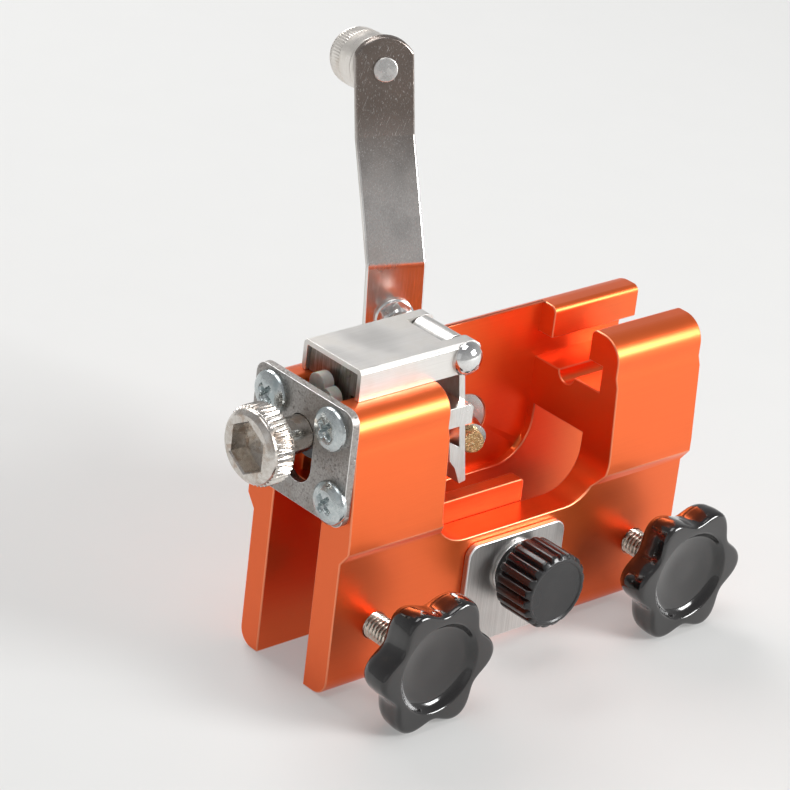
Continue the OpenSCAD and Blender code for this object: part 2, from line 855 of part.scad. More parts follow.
body();
end_plate();
end_plate_screws();
nylon_keeper();
guide_bushing();
adjuster_screw();
adjuster_retaining_ring();
carriage_channel();
slide_block();
pawl_pin();
pawl();
thrust_washer();
drive_shaft();
burr();
burr_grub_screw();
hub_nut();
hub_outer_nut();
crank_arm();
grip_rivet();
grip_roller();
clamp_pad_left();
clamp_screw_left();
star_knob_left();
clamp_pad_right();
clamp_screw_right();
star_knob_right();
stop_plate();
stop_block();
stop_stud();
stop_washer();
stop_knob();
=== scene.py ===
"""Looks of a manual sharpener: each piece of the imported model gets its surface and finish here.

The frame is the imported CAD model, in metres. Sizes in this file are millimetres unless a
name says otherwise, and MM turns them into metres when a mesh is made.
"""

import json
import logging
import math
from dataclasses import dataclass, replace
from enum import Enum
from typing import Callable, Sequence

import bmesh
import bpy
import numpy as np
from mathutils import Matrix, Vector

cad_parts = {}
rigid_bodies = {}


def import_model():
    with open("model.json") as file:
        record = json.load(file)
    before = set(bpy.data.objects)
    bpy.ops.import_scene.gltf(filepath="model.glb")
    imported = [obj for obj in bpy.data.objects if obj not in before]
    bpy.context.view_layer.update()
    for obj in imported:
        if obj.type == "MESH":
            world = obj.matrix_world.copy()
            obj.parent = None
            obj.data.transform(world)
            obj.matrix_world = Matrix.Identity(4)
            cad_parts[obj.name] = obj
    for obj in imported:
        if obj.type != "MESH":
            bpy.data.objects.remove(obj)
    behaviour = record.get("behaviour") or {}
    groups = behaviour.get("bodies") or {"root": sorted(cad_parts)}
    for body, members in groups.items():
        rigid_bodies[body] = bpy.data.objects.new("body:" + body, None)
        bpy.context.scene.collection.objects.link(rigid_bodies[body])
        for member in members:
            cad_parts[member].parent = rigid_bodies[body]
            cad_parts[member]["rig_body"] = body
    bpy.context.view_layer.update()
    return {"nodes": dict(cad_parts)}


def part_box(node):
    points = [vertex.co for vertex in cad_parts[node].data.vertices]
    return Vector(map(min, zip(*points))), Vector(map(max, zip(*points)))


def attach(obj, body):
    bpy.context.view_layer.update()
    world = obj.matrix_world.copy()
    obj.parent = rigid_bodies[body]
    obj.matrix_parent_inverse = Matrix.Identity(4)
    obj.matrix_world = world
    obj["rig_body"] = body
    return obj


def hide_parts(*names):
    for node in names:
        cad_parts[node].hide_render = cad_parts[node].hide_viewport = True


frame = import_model()

log = logging.getLogger("sharpener")

MM = 0.001
PER_M = 1000.0
TURN = 2 * math.pi

# Radii at which a turned profile meets the fan of triangles at its pole
POLE_R = 0.3
THIN_POLE_R = 0.2

# Fillets
HAIR = 0.1
CRISP = 0.2
SOFT = 0.3

# Angles in degrees from which an edge stays sharp, on a turned piece and on a CAD copy
TURNED_SHARP = 35.0
NUT_SHARP = 28.0
DRUM_SHARP = 38.0
STAR_SHARP = 42.0
GRIT_SHARP = 60.0
COPY_SHARP = 32.0

# A CAD copy is merged within a distance, flattened below an angle, and rounded in steps
MERGE_DISTANCE = 0.002
FLAT_ANGLE = 0.4
ROUNDING_STEPS = 3
# Slot of the material on a rounding's faces, whose lighter edge tone is a painted highlight, partly
# wear
ROUNDING_SLOT = 1

# A helix and a knurl are cut by a wave to this power, which broadens the grooves
CUT_POWER = 0.8

# Rows of a profile closer than this many decimals of a millimetre are one row
PLACE_DIGITS = 5

# Types: a grid is an array with a value for each point, and a pair is height and radius
Tone = tuple[float, float, float]
Triple = tuple[float, float, float]
Rows = tuple[tuple[float, ...], ...]
Socket = bpy.types.NodeSocket
Thing = bpy.types.Object
Grid = np.ndarray
Pair = tuple[Grid, Grid]
Shape = Callable[[Grid, Grid, Grid, Grid], Pair]


class Way(Enum):
    """Directions that pieces face, as unit vectors."""

    FRONT = (0.0, -1.0, 0.0)
    LEFT = (-1.0, 0.0, 0.0)
    RIGHT = (1.0, 0.0, 0.0)
    UP = (0.0, 0.0, 1.0)


class Side(Enum):
    """The two clamps, as the names of their nodes end."""

    LEFT = "left"
    RIGHT = "right"


# Materials

# Sockets of a Mix node for colours, by number, because its names repeat
MIX_FIRST = 6
MIX_SECOND = 7
MIX_RESULT = 2

# Bands of pattern values: nearly all of a noise, its blotches, its patches and its peaks,
# and a pit from floor to rim
NOISE_LOW = 0.3
NOISE_HIGH = 0.7
STAIN_LOW = 0.5
STAIN_HIGH = 0.72
PATCH_LOW = 0.4
PATCH_HIGH = 0.6
PEAK_LOW = 0.68
PEAK_HIGH = 0.74
PIT_FLOOR = 0.18
PIT_RIM = 0.42

# How much the painted shade at the top hides, and how deep a pit is beside the grain
DARK_TOP_SHARE = 0.85
PIT_TO_GRAIN = 4

# Scratches and saw lines, in periods per millimetre along each axis, and turns in degrees
SCRATCH_TONE = (0.95, 0.94, 0.92)
SCRATCH_LINES = (5.5, 5.5, 0.09)
SCRATCH_TURNS = ((0.0, 9.0, 0.0), (0.0, -24.0, 0.0), (5.0, 2.0, 0.0))
SAW_LINES = (0.02, 4.5, 0.05)

# The square of a normal's part along X, from where saw lines begin to where they are full
ALONG_X_LOW = 0.7
ALONG_X_HIGH = 0.95


class Graph:
    """The nodes and links of one material."""

    def __init__(self, name: str) -> None:
        """Starts an empty material with a Principled shader at its end.

        Args:
            name: name of the material.
        """
        self.material = bpy.data.materials.new(name)
        self.material.use_nodes = True
        self.tree = self.material.node_tree
        self.tree.nodes.clear()
        self.end = self.add("ShaderNodeOutputMaterial")
        self.shader = self.add("ShaderNodeBsdfPrincipled")
        self.link(self.shader.outputs["BSDF"], self.end.inputs["Surface"])
        self.where = self.add("ShaderNodeTexCoord")

    def add(self, kind: str, **settings: object) -> bpy.types.Node:
        """Adds a node.

        Args:
            kind: Blender's name of the node.
            **settings: properties to set on it.

        Returns:
            The new node.
        """
        node = self.tree.nodes.new(kind)
        for key, value in settings.items():
            setattr(node, key, value)
        return node

    def link(self, source: Socket, target: Socket) -> None:
        """Joins two sockets."""
        self.tree.links.new(source, target)

    def set(self, **values: object) -> None:
        """Sets plain values on the shader's own sockets, named with underscores for blanks."""
        for key, value in values.items():
            self.shader.inputs[key.replace("_", " ")].default_value = value

    def surface(self, colour: Socket, rough: Socket, relief: Socket) -> None:
        """Gives the shader its colour, roughness and relief."""
        for source, name in ((colour, "Base Color"), (rough, "Roughness"), (relief, "Normal")):
            self.link(source, self.shader.inputs[name])

    def pattern_place(self, lines: Triple, turn: Triple = (0, 0, 0)) -> Socket:
        """Stretches the piece's own coordinates.

        Args:
            lines: pattern periods per millimetre along each axis.
            turn: angles in degrees by which the pattern is turned first.

        Returns:
            The socket with the stretched coordinates.
        """
        turned = self.add("ShaderNodeMapping")
        turned.inputs["Rotation"].default_value = [math.radians(a) for a in turn]
        stretched = self.add("ShaderNodeMapping")
        stretched.inputs["Scale"].default_value = [PER_M * n for n in lines]
        self.link(self.where.outputs["Object"], turned.inputs["Vector"])
        self.link(turned.outputs["Vector"], stretched.inputs["Vector"])
        return stretched.outputs["Vector"]

    def even_place(self, lines: float) -> Socket:
        """Scales the piece's own coordinates alike along each axis, in periods per millimetre."""
        return self.pattern_place((lines, lines, lines))

    def noise(self, place: Socket, detail: float = 4.0, rough: float = 0.55) -> Socket:
        """Adds a noise pattern.

        Args:
            place: coordinates in which its period is 1.
            detail: number of its finer layers.
            rough: how strong they are.

        Returns:
            The socket with its value.
        """
        node = self.add("ShaderNodeTexNoise")
        node.inputs["Scale"].default_value = 1.0
        node.inputs["Detail"].default_value = detail
        node.inputs["Roughness"].default_value = rough
        self.link(place, node.inputs["Vector"])
        return node.outputs["Fac"]

    def cells(self, place: Socket, output: str = "Distance") -> Socket:
        """Adds a cell pattern.

        Args:
            place: coordinates in which its period is 1.
            output: which of its outputs is wanted.

        Returns:
            The socket of that output.
        """
        node = self.add("ShaderNodeTexVoronoi")
        node.inputs["Scale"].default_value = 1.0
        self.link(place, node.inputs["Vector"])
        return node.outputs[output]

    def ramp(self, value: Socket, low: float, high: float, to_low: float = 0.0,
             to_high: float = 1.0) -> Socket:
        """Maps a value from low..high to to_low..to_high, with smooth ends.

        Args:
            value: what is mapped.
            low: where the ramp starts.
            high: where it ends.
            to_low: what it gives at its start.
            to_high: what it gives at its end.

        Returns:
            The socket with the mapped value.
        """
        node = self.add("ShaderNodeMapRange", interpolation_type="SMOOTHSTEP")
        for key, number in (("From Min", low), ("From Max", high),
                            ("To Min", to_low), ("To Max", to_high)):
            node.inputs[key].default_value = number
        self.link(value, node.inputs["Value"])
        return node.outputs["Result"]

    def about(self, value: Socket, centre: float, spread: float) -> Socket:
        """Spreads a noise's values evenly about a centre."""
        return self.ramp(value, NOISE_LOW, NOISE_HIGH, centre - spread, centre + spread)

    def part(self, vector: Socket, letter: str) -> Socket:
        """Gives one part of a vector: X, Y or Z."""
        node = self.add("ShaderNodeSeparateXYZ")
        self.link(vector, node.inputs[0])
        return node.outputs[letter]

    def times(self, first: Socket, second: Socket | float) -> Socket:
        """Multiplies two values."""
        return self.sum(first, second, "MULTIPLY")

    def sum(self, first: Socket, second: Socket | float, operation: str = "ADD") -> Socket:
        """Adds two values, or joins them in another way.

        Args:
            first: a value.
            second: a value or a plain number.
            operation: the Math node's name for the way.

        Returns:
            The socket with the result.
        """
        node = self.add("ShaderNodeMath", operation=operation)
        self.link(first, node.inputs[0])
        if isinstance(second, float):
            node.inputs[1].default_value = second
        else:
            self.link(second, node.inputs[1])
        return node.outputs[0]

    def blend(self, share: Socket, first: Tone | Socket, second: Tone | Socket) -> Socket:
        """Mixes two colours.

        Args:
            share: how much of the second colour shows, 0 to 1.
            first: a colour, or a socket that carries one.
            second: a colour, or a socket that carries one.

        Returns:
            The socket with the mixed colour.
        """
        node = self.add("ShaderNodeMix", data_type="RGBA")
        self.link(share, node.inputs["Factor"])
        for colour, number in ((first, MIX_FIRST), (second, MIX_SECOND)):
            if isinstance(colour, tuple):
                node.inputs[number].default_value = (*colour, 1.0)
            else:
                self.link(colour, node.inputs[number])
        return node.outputs[MIX_RESULT]

    def bump(self, height: Socket, depth: float, below: Socket | None = None) -> Socket:
        """Adds a relief.

        Args:
            height: the pattern, 0 to 1.
            depth: how deep the pattern is, in millimetres.
            below: the relief that this one lies on.

        Returns:
            The socket with the bent normal.
        """
        node = self.add("ShaderNodeBump")
        node.inputs["Strength"].default_value = 1.0
        node.inputs["Distance"].default_value = depth * MM
        self.link(height, node.inputs["Height"])
        if below is not None:
            self.link(below, node.inputs["Normal"])
        return node.outputs["Normal"]


@dataclass(frozen=True)
class Metal:
    """A metal: two tones mixed by a stretched grain, with slow blotches, pits and scratches.

    The grain is a noise stretched along the way that the piece was rolled, brushed or turned.
    The edge tone is a painted highlight on rounded edges, partly wear. The dark top is
    painted shade: the two heights between which the stain tone comes to cover the piece.
    The coat is the clear layer that anodising leaves. Grain is in periods per millimetre,
    and depths and sizes are millimetres.
    """

    name: str
    tone: Tone
    shade: Tone
    roughness: float
    grain: Triple = (3.0, 3.0, 3.0)
    grain_depth: float = 0.003
    grain_share: float = 0.6
    spread: float = 0.08
    metallic: float = 1.0
    turn: Triple = (0.0, 0.0, 0.0)
    blotch: float = 9.0
    stain: Tone | None = None
    stain_share: float = 0.35
    pits: float = 0.0
    pit_size: float = 0.7
    scratches: float = 0.0
    # Edge tone: a painted highlight on the rounded edges, partly wear
    edge: Tone | None = None
    edge_share: float = 0.6
    end_lines: float = 0.0
    # Painted shade: heights between which the stain tone comes to cover the piece, darkening its
    # top
    dark_top: tuple[float, float] | None = None
    coat: float = 0.0

    def material(self) -> bpy.types.Material:
        """Builds the material.

        Returns:
            The material, all of it from patterns on the piece's own coordinates.
        """
        graph = Graph(self.name)
        grain = graph.noise(graph.pattern_place(self.grain, self.turn), detail=5.0, rough=0.6)
        slow = graph.noise(graph.even_place(1 / self.blotch), detail=3.0)
        share = graph.ramp(grain, NOISE_LOW, NOISE_HIGH, to_high=self.grain_share)
        colour = graph.blend(share, self.tone, self.shade)
        if self.stain is not None:
            stained = graph.ramp(slow, STAIN_LOW, STAIN_HIGH, to_high=self.stain_share)
            colour = graph.blend(stained, colour, self.stain)
        # Painted shade: the piece darkens towards its top, in the stain's tone
        if self.dark_top is not None and self.stain is not None:
            low, high = self.dark_top
            height = graph.part(graph.where.outputs["Object"], "Z")
            top_shaded = graph.ramp(height, low * MM, high * MM, to_high=DARK_TOP_SHARE)
            colour = graph.blend(top_shaded, colour, self.stain)
        relief = graph.bump(grain, self.grain_depth)
        rough = graph.about(slow, self.roughness, self.spread)
        if self.end_lines > 0:
            relief = self._saw_lines(graph, relief)
        if self.pits > 0:
            spots = graph.cells(graph.even_place(1 / self.pit_size))
            pitted = graph.ramp(spots, PIT_FLOOR, PIT_RIM, to_low=1.0, to_high=0.0)
            patchy = graph.times(pitted, graph.ramp(grain, PATCH_LOW, PATCH_HIGH))
            colour = graph.blend(graph.times(patchy, self.pits), colour, self.shade)
            sunk = graph.times(patchy, -1.0)
            relief = graph.bump(sunk, PIT_TO_GRAIN * self.grain_depth, relief)
        if self.scratches > 0:
            colour, relief = self._scratched(graph, colour, relief)
        graph.surface(colour, rough, relief)
        graph.set(Metallic=self.metallic, Coat_Weight=self.coat, Coat_Roughness=self.roughness)
        return graph.material

    def highlit_and_worn(self) -> "Metal":
        """The same metal mixed with its edge tone, for the rounded edges: a painted highlight,
        partly wear.
        """
        def mixed(tone: Tone) -> Tone:
            """Moves a tone towards the edge tone by the edge's share."""
            return tuple(a + self.edge_share * (b - a) for a, b in zip(tone, self.edge))

        return replace(self, name=f"{self.name}_edge", tone=mixed(self.tone),
                       shade=mixed(self.shade), edge=None, end_lines=0.0)

    def _saw_lines(self, graph: Graph, below: Socket) -> Socket:
        """Adds upright tool lines to the faces that look along X, where the block was sawn.

        Args:
            graph: the material.
            below: the relief that they lie on.

        Returns:
            The socket with the bent normal.
        """
        lines = graph.noise(graph.pattern_place(SAW_LINES), rough=0.7)
        along_x = graph.part(graph.where.outputs["Normal"], "X")
        facing = graph.ramp(graph.times(along_x, along_x), ALONG_X_LOW, ALONG_X_HIGH)
        return graph.bump(graph.times(lines, facing), self.end_lines, below)

    def _scratched(self, graph: Graph, colour: Socket, below: Socket) -> tuple[Socket, Socket]:
        """Adds thin upright scratches at three slants, where stretched noises peak.

        Args:
            graph: the material.
            colour: the colour that they lie on.
            below: the relief that they lie on.

        Returns:
            The sockets with the colour and the bent normal.
        """
        for turn in SCRATCH_TURNS:
            peaks = graph.noise(graph.pattern_place(SCRATCH_LINES, turn), detail=1.0)
            mark = graph.ramp(peaks, PEAK_LOW, PEAK_HIGH, to_high=self.scratches)
            colour = graph.blend(mark, colour, SCRATCH_TONE)
            below = graph.bump(mark, self.grain_depth, below)
        return colour, below


@dataclass(frozen=True)
class Plastic:
    """A moulded plastic: one dark tone, a faint ripple from the mould, and dust.

    Ripple is in millimetres a wave, and fine and slow are in periods per millimetre. Dust
    lies where the product of the fine and the slow noise is in its band.
    """

    name: str
    tone: Tone
    dust: Tone
    roughness: float
    spread: float = 0.06
    ripple: float = 1.6
    ripple_depth: float = 0.012
    fine: float = 6.0
    fine_depth: float = 0.002
    slow: float = 0.12
    dust_band: tuple[float, float] = (0.22, 0.42)
    dust_share: float = 0.25
    coat: float = 0.0
    coat_roughness: float = 0.08

    def material(self) -> bpy.types.Material:
        """Builds the material.

        Returns:
            The material, with a clear gloss over it where coat is above zero.
        """
        graph = Graph(self.name)
        ripple = graph.noise(graph.even_place(1 / self.ripple), detail=2.0)
        fine = graph.noise(graph.even_place(self.fine), detail=3.0)
        slow = graph.noise(graph.even_place(self.slow), detail=3.0)
        low, high = self.dust_band
        dusty = graph.ramp(graph.times(slow, fine), low, high, to_high=self.dust_share)
        colour = graph.blend(dusty, self.tone, self.dust)
        rough = graph.about(slow, self.roughness, self.spread)
        relief = graph.bump(fine, self.fine_depth, graph.bump(ripple, self.ripple_depth))
        graph.surface(colour, rough, relief)
        graph.set(Coat_Weight=self.coat, Coat_Roughness=self.coat_roughness)
        return graph.material


@dataclass(frozen=True)
class Nylon:
    """Milky see-through nylon, with clouds and a fine grain in periods per millimetre."""

    name: str
    tone: Tone
    cloud: Tone
    roughness: float = 0.44
    spread: float = 0.06
    clouds: float = 0.5
    cloud_low: float = 0.35
    fine: float = 7.0
    fine_depth: float = 0.003
    transmission: float = 0.35
    scatter: float = 0.4
    depth: float = 2.0
    ior: float = 1.53

    def material(self) -> bpy.types.Material:
        """Builds the material: light scatters under the surface and some of it passes.

        Returns:
            The material.
        """
        graph = Graph(self.name)
        cloud = graph.noise(graph.even_place(self.clouds), detail=3.0)
        fine = graph.noise(graph.even_place(self.fine), detail=3.0)
        colour = graph.blend(graph.ramp(cloud, self.cloud_low, NOISE_HIGH), self.tone, self.cloud)
        graph.surface(colour, graph.about(cloud, self.roughness, self.spread),
                      graph.bump(fine, self.fine_depth))
        graph.set(Transmission_Weight=self.transmission, Subsurface_Weight=self.scatter,
                  Subsurface_Scale=self.depth * MM, IOR=self.ior)
        return graph.material


@dataclass(frozen=True)
class Grit:
    """Abrasive grains in a bond: cells with a tone each, some of them glittering."""

    name: str
    bond: Tone
    grain: Tone
    glint: Tone
    size: float = 0.22
    relief: float = 0.05
    shiny_band: tuple[float, float] = (0.8, 0.84)
    smooth_band: tuple[float, float] = (0.6, 0.9)
    rough_ends: tuple[float, float] = (0.6, 0.15)

    def material(self) -> bpy.types.Material:
        """Builds the material: each cell takes a tone from its own random colour.

        Returns:
            The material.
        """
        graph = Graph(self.name)
        place = graph.even_place(1 / self.size)
        chance = graph.cells(place, output="Color")
        mixture, luck = graph.part(chance, "X"), graph.part(chance, "Y")
        colour = graph.blend(mixture, self.bond, self.grain)
        low, high = self.shiny_band
        shiny = graph.ramp(luck, low, high)
        colour = graph.blend(shiny, colour, self.glint)
        low, high = self.smooth_band
        rough, smooth = self.rough_ends
        graph.surface(colour, graph.ramp(luck, low, high, rough, smooth),
                      graph.bump(graph.cells(place), self.relief))
        graph.link(shiny, graph.shader.inputs["Metallic"])
        return graph.material


Finish = Metal | Plastic | Nylon | Grit

# Finishes

# Turns a grain so that it follows the crank axis, in degrees
CRANK_TURN = (0.0, 0.0, 25.0)

# An edge tone in this table is a painted highlight on the rounded edges, partly wear
ORANGE = Metal("orange_anodised", (0.95, 0.15, 0.02), (0.88, 0.12, 0.015), 0.35,
               grain=(0.05, 7.0, 7.0), grain_depth=0.0006, grain_share=0.35, spread=0.03,
               metallic=0.86, blotch=22.0, edge=(1.0, 0.42, 0.24), edge_share=0.5,
               end_lines=0.014, coat=0.5)
# The inner block's orange is the body's anodise made darker and duller: painted shade
ORANGE_SHADED = Metal("shaded_orange_block", (0.74, 0.10, 0.02), (0.6, 0.06, 0.012), 0.42,
                    grain=(0.06, 5.0, 5.0), grain_depth=0.0015, spread=0.05, metallic=0.7,
                    edge=(0.93, 0.3, 0.15))
BLASTED = Metal("blasted_plate", (0.46, 0.44, 0.42), (0.25, 0.23, 0.22), 0.44,
                grain=(2.2, 2.2, 2.2), grain_depth=0.022, grain_share=0.75, spread=0.08,
                blotch=4.0, pits=0.7, pit_size=0.9, stain=(0.33, 0.28, 0.24),
                edge=(0.95, 0.94, 0.92), edge_share=0.9)
ZINC_HEAD = Metal("zinc_pan_head", (0.62, 0.66, 0.66), (0.42, 0.47, 0.49), 0.26,
                  grain=(1.2, 1.2, 1.2), grain_depth=0.004, spread=0.06, blotch=3.0,
                  stain=(0.3, 0.4, 0.42), stain_share=0.5)
NICKEL = Metal("knurled_nickel", (0.74, 0.71, 0.67), (0.5, 0.44, 0.38), 0.24,
               grain=(1.0, 1.0, 1.0), grain_depth=0.004, spread=0.07, blotch=2.6,
               stain=(0.36, 0.22, 0.13), stain_share=0.55)
ALUMINIUM = Metal("satin_aluminium", (0.88, 0.86, 0.83), (0.76, 0.74, 0.71), 0.36,
                  grain=(0.08, 6.0, 6.0), grain_depth=0.0022, spread=0.05, blotch=11.0,
                  stain=(0.66, 0.61, 0.54), edge=(0.93, 0.91, 0.87), edge_share=0.7)
STREAKED = Metal("streaked_steel", (0.4, 0.37, 0.34), (0.16, 0.14, 0.12), 0.34,
                 grain=(3.0, 3.0, 0.12), grain_depth=0.006, grain_share=0.9, spread=0.1,
                 blotch=6.0, stain=(0.12, 0.09, 0.07), edge=(0.7, 0.66, 0.6))
CHROME = Metal("chromed_pin", (0.86, 0.86, 0.85), (0.7, 0.7, 0.69), 0.12,
               grain=(2.0, 2.0, 2.0), grain_depth=0.002, spread=0.04, blotch=4.0)
CAST = Metal("satin_pawl", (0.8, 0.79, 0.77), (0.66, 0.64, 0.61), 0.34,
             grain=(4.0, 4.0, 0.3), grain_depth=0.003, spread=0.07, blotch=5.0,
             stain=(0.6, 0.53, 0.45), edge=(0.95, 0.94, 0.92))
TURNED = Metal("turned_steel", (0.66, 0.65, 0.63), (0.48, 0.46, 0.44), 0.27,
               grain=(0.3, 7.0, 0.3), grain_depth=0.002, turn=CRANK_TURN, edge=(0.86, 0.85, 0.83))
# The arm's top is painted shade: from 64 to 88 mm up it takes the stain tone, which also gives its
# blotches
STAINLESS = Metal("stainless_arm", (0.72, 0.69, 0.66), (0.52, 0.49, 0.46), 0.23,
                  grain=(3.6, 3.6, 0.07), grain_depth=0.0014, spread=0.06, blotch=12.0,
                  stain=(0.17, 0.125, 0.1), stain_share=0.3, scratches=0.6, dark_top=(64.0, 88.0),
                  edge=(0.95, 0.94, 0.92), edge_share=0.8)
ROLLER = Metal("turned_aluminium", (0.8, 0.76, 0.71), (0.62, 0.57, 0.52), 0.35,
               grain=(0.4, 6.0, 0.4), grain_depth=0.004, turn=CRANK_TURN, blotch=6.0,
               stain=(0.62, 0.52, 0.42))
RIVET = Metal("flat_rivet", (0.74, 0.73, 0.71), (0.58, 0.57, 0.55), 0.3,
              grain=(1.6, 1.6, 1.6), grain_depth=0.005, blotch=3.0)
BRIGHT_ZINC = Metal("bright_zinc_nut", (0.78, 0.78, 0.77), (0.6, 0.6, 0.6), 0.2,
                    grain=(1.4, 1.4, 1.4), grain_depth=0.004, blotch=3.0,
                    edge=(0.93, 0.93, 0.92))
THREAD = Metal("warm_thread", (0.82, 0.76, 0.67), (0.6, 0.52, 0.43), 0.24,
               grain=(1.5, 3.0, 1.5), grain_depth=0.003, blotch=2.0,
               stain=(0.4, 0.31, 0.23), stain_share=0.4)
BRUSHED = Metal("brushed_stop_plate", (0.76, 0.74, 0.72), (0.54, 0.52, 0.5), 0.4,
                grain=(6.0, 6.0, 0.05), grain_depth=0.004, grain_share=0.8, spread=0.05,
                edge=(0.95, 0.95, 0.94), edge_share=0.9)
DARK_STEEL = Metal("black_oxide", (0.1, 0.1, 0.105), (0.05, 0.05, 0.052), 0.38,
                   grain=(3.0, 3.0, 3.0), grain_depth=0.003, edge=(0.35, 0.34, 0.33))
PAD_STEEL = Metal("pad_steel", (0.5, 0.49, 0.48), (0.34, 0.33, 0.32), 0.36,
                  grain=(0.5, 5.0, 0.5), grain_depth=0.003, edge=(0.75, 0.74, 0.72))
GLOSS_BLACK = Plastic("star_knob_plastic", (0.008, 0.007, 0.007), (0.08, 0.07, 0.065), 0.17,
                      spread=0.04, ripple=3.2, ripple_depth=0.02, dust_share=0.1, coat=0.8)
SATIN_BLACK = Plastic("fluted_knob_plastic", (0.012, 0.012, 0.013), (0.09, 0.085, 0.08), 0.3,
                      spread=0.05, dust_share=0.2, coat=0.25, coat_roughness=0.15)
MILKY = Nylon("milky_nylon", (0.8, 0.78, 0.72), (0.68, 0.66, 0.6))
GOLD_GRIT = Grit("burr_grit", (0.24, 0.13, 0.05), (0.56, 0.36, 0.14), (0.95, 0.82, 0.5))

made_finishes: dict[str, bpy.types.Material] = {}


# Meshes


def add_object(name: str, data: bpy.types.ID) -> Thing:
    """Makes an object of a mesh, a lamp or a camera, and puts it in the scene."""
    thing = bpy.data.objects.new(name, data)
    bpy.context.scene.collection.objects.link(thing)
    return thing


@dataclass(frozen=True)
class Shell:
    """A closed surface: points in millimetres and faces that look outwards."""

    points: Grid
    quads: Grid
    triangles: Grid

    def __add__(self, other: "Shell") -> "Shell":
        """Puts another shell beside this one, as one set of points and faces."""
        step = len(self.points)
        return Shell(np.vstack([self.points, other.points]),
                     np.vstack([self.quads, other.quads + step]),
                     np.vstack([self.triangles, other.triangles + step]))

    def outward(self) -> "Shell":
        """Turns the faces round where they enclose a negative volume.

        The volume is a sixth of the sum of each triangle's triple product.

        Returns:
            The shell, with faces that look outwards.
        """
        halves = np.vstack([self.quads[:, [0, 1, 2]], self.quads[:, [0, 2, 3]], self.triangles])
        a, b, c = (self.points[halves[:, i]] for i in range(3))
        if np.einsum("ij,ij->i", a, np.cross(b, c)).sum() >= 0:
            return self
        return Shell(self.points, self.quads[:, ::-1], self.triangles[:, ::-1])

    def object(self, name: str, sharp: float = TURNED_SHARP) -> Thing:
        """Makes the Blender object.

        Args:
            name: name of the piece.
            sharp: angle in degrees from which an edge stays sharp.

        Returns:
            The object, at the origin.
        """
        mesh = bpy.data.meshes.new(name)
        mesh.from_pydata((self.points * MM).tolist(), [],
                         self.quads.tolist() + self.triangles.tolist())
        mesh.validate()
        mesh.shade_smooth()
        mesh.set_sharp_from_angle(angle=math.radians(sharp))
        return add_object(name, mesh)


@dataclass(frozen=True)
class Axis:
    """A turning axis: where it starts, which way it runs and where its zero angle points."""

    start: Triple
    along: Triple
    zero: Triple

    def points(self, height: Grid, radius: Grid, angle: Grid) -> Grid:
        """Start plus height along the axis plus radius along the zero way turned by angle.

        Args:
            height: distances along the axis.
            radius: distances from the axis.
            angle: angles round the axis.

        Returns:
            One point for each entry of the three arrays.
        """
        along = np.array(self.along)
        zero = np.array(self.zero)
        third = np.cross(along, zero)
        ring = np.cos(angle)[..., None] * zero + np.sin(angle)[..., None] * third
        return np.array(self.start) + height[..., None] * along + radius[..., None] * ring


def rounded(corners: Sequence[tuple[float, ...]], closed: bool = False,
            steps: int = 6) -> Grid:
    """Rounds the corners of a profile.

    A corner is height, radius, fillet and share. A fillet is the curve (1-t)^2 A + 2t(1-t) C
    + t^2 B, where C is the corner, and A and B lie a fillet's length before and after it.

    Args:
        corners: the corners in order.
        closed: whether the last corner joins the first.
        steps: how many steps a fillet has.

    Returns:
        Rows of height, radius and share.
    """
    table = np.array(corners, float)
    spots = table[:, [0, 1, 3]]
    rows = []
    last = len(table) - 1
    t = np.linspace(0, 1, steps + 1)[:, None]
    for i, fillet in enumerate(table[:, 2]):
        if fillet == 0 or (not closed and i in (0, last)):
            rows.append(spots[i:i + 1])
            continue
        before = spots[i - 1] - spots[i]
        after = spots[(i + 1) % len(table)] - spots[i]
        start = spots[i] + before * fillet / np.hypot(*before[:2])
        end = spots[i] + after * fillet / np.hypot(*after[:2])
        rows.append((1 - t) ** 2 * start + 2 * t * (1 - t) * spots[i] + t ** 2 * end)
    return np.vstack(rows)


def denser(profile: Grid, step: float) -> Grid:
    """Adds rows to a profile, evenly along its length, and keeps the rows that it has.

    Args:
        profile: rows of height, radius and share.
        step: the largest distance between two rows.

    Returns:
        The denser profile.
    """
    lengths = np.hypot(*np.diff(profile[:, :2], axis=0).T)
    knots = np.concatenate([[0.0], np.cumsum(lengths)])
    even = np.arange(0, knots[-1], step)
    places = np.unique(np.concatenate([knots, even]).round(PLACE_DIGITS))
    return np.stack([np.interp(places, knots, column) for column in profile.T], axis=1)


def unchanged(height: Grid, radius: Grid, share: Grid, angle: Grid) -> Pair:
    """Leaves a turned surface round."""
    return height + 0 * angle, radius + 0 * angle


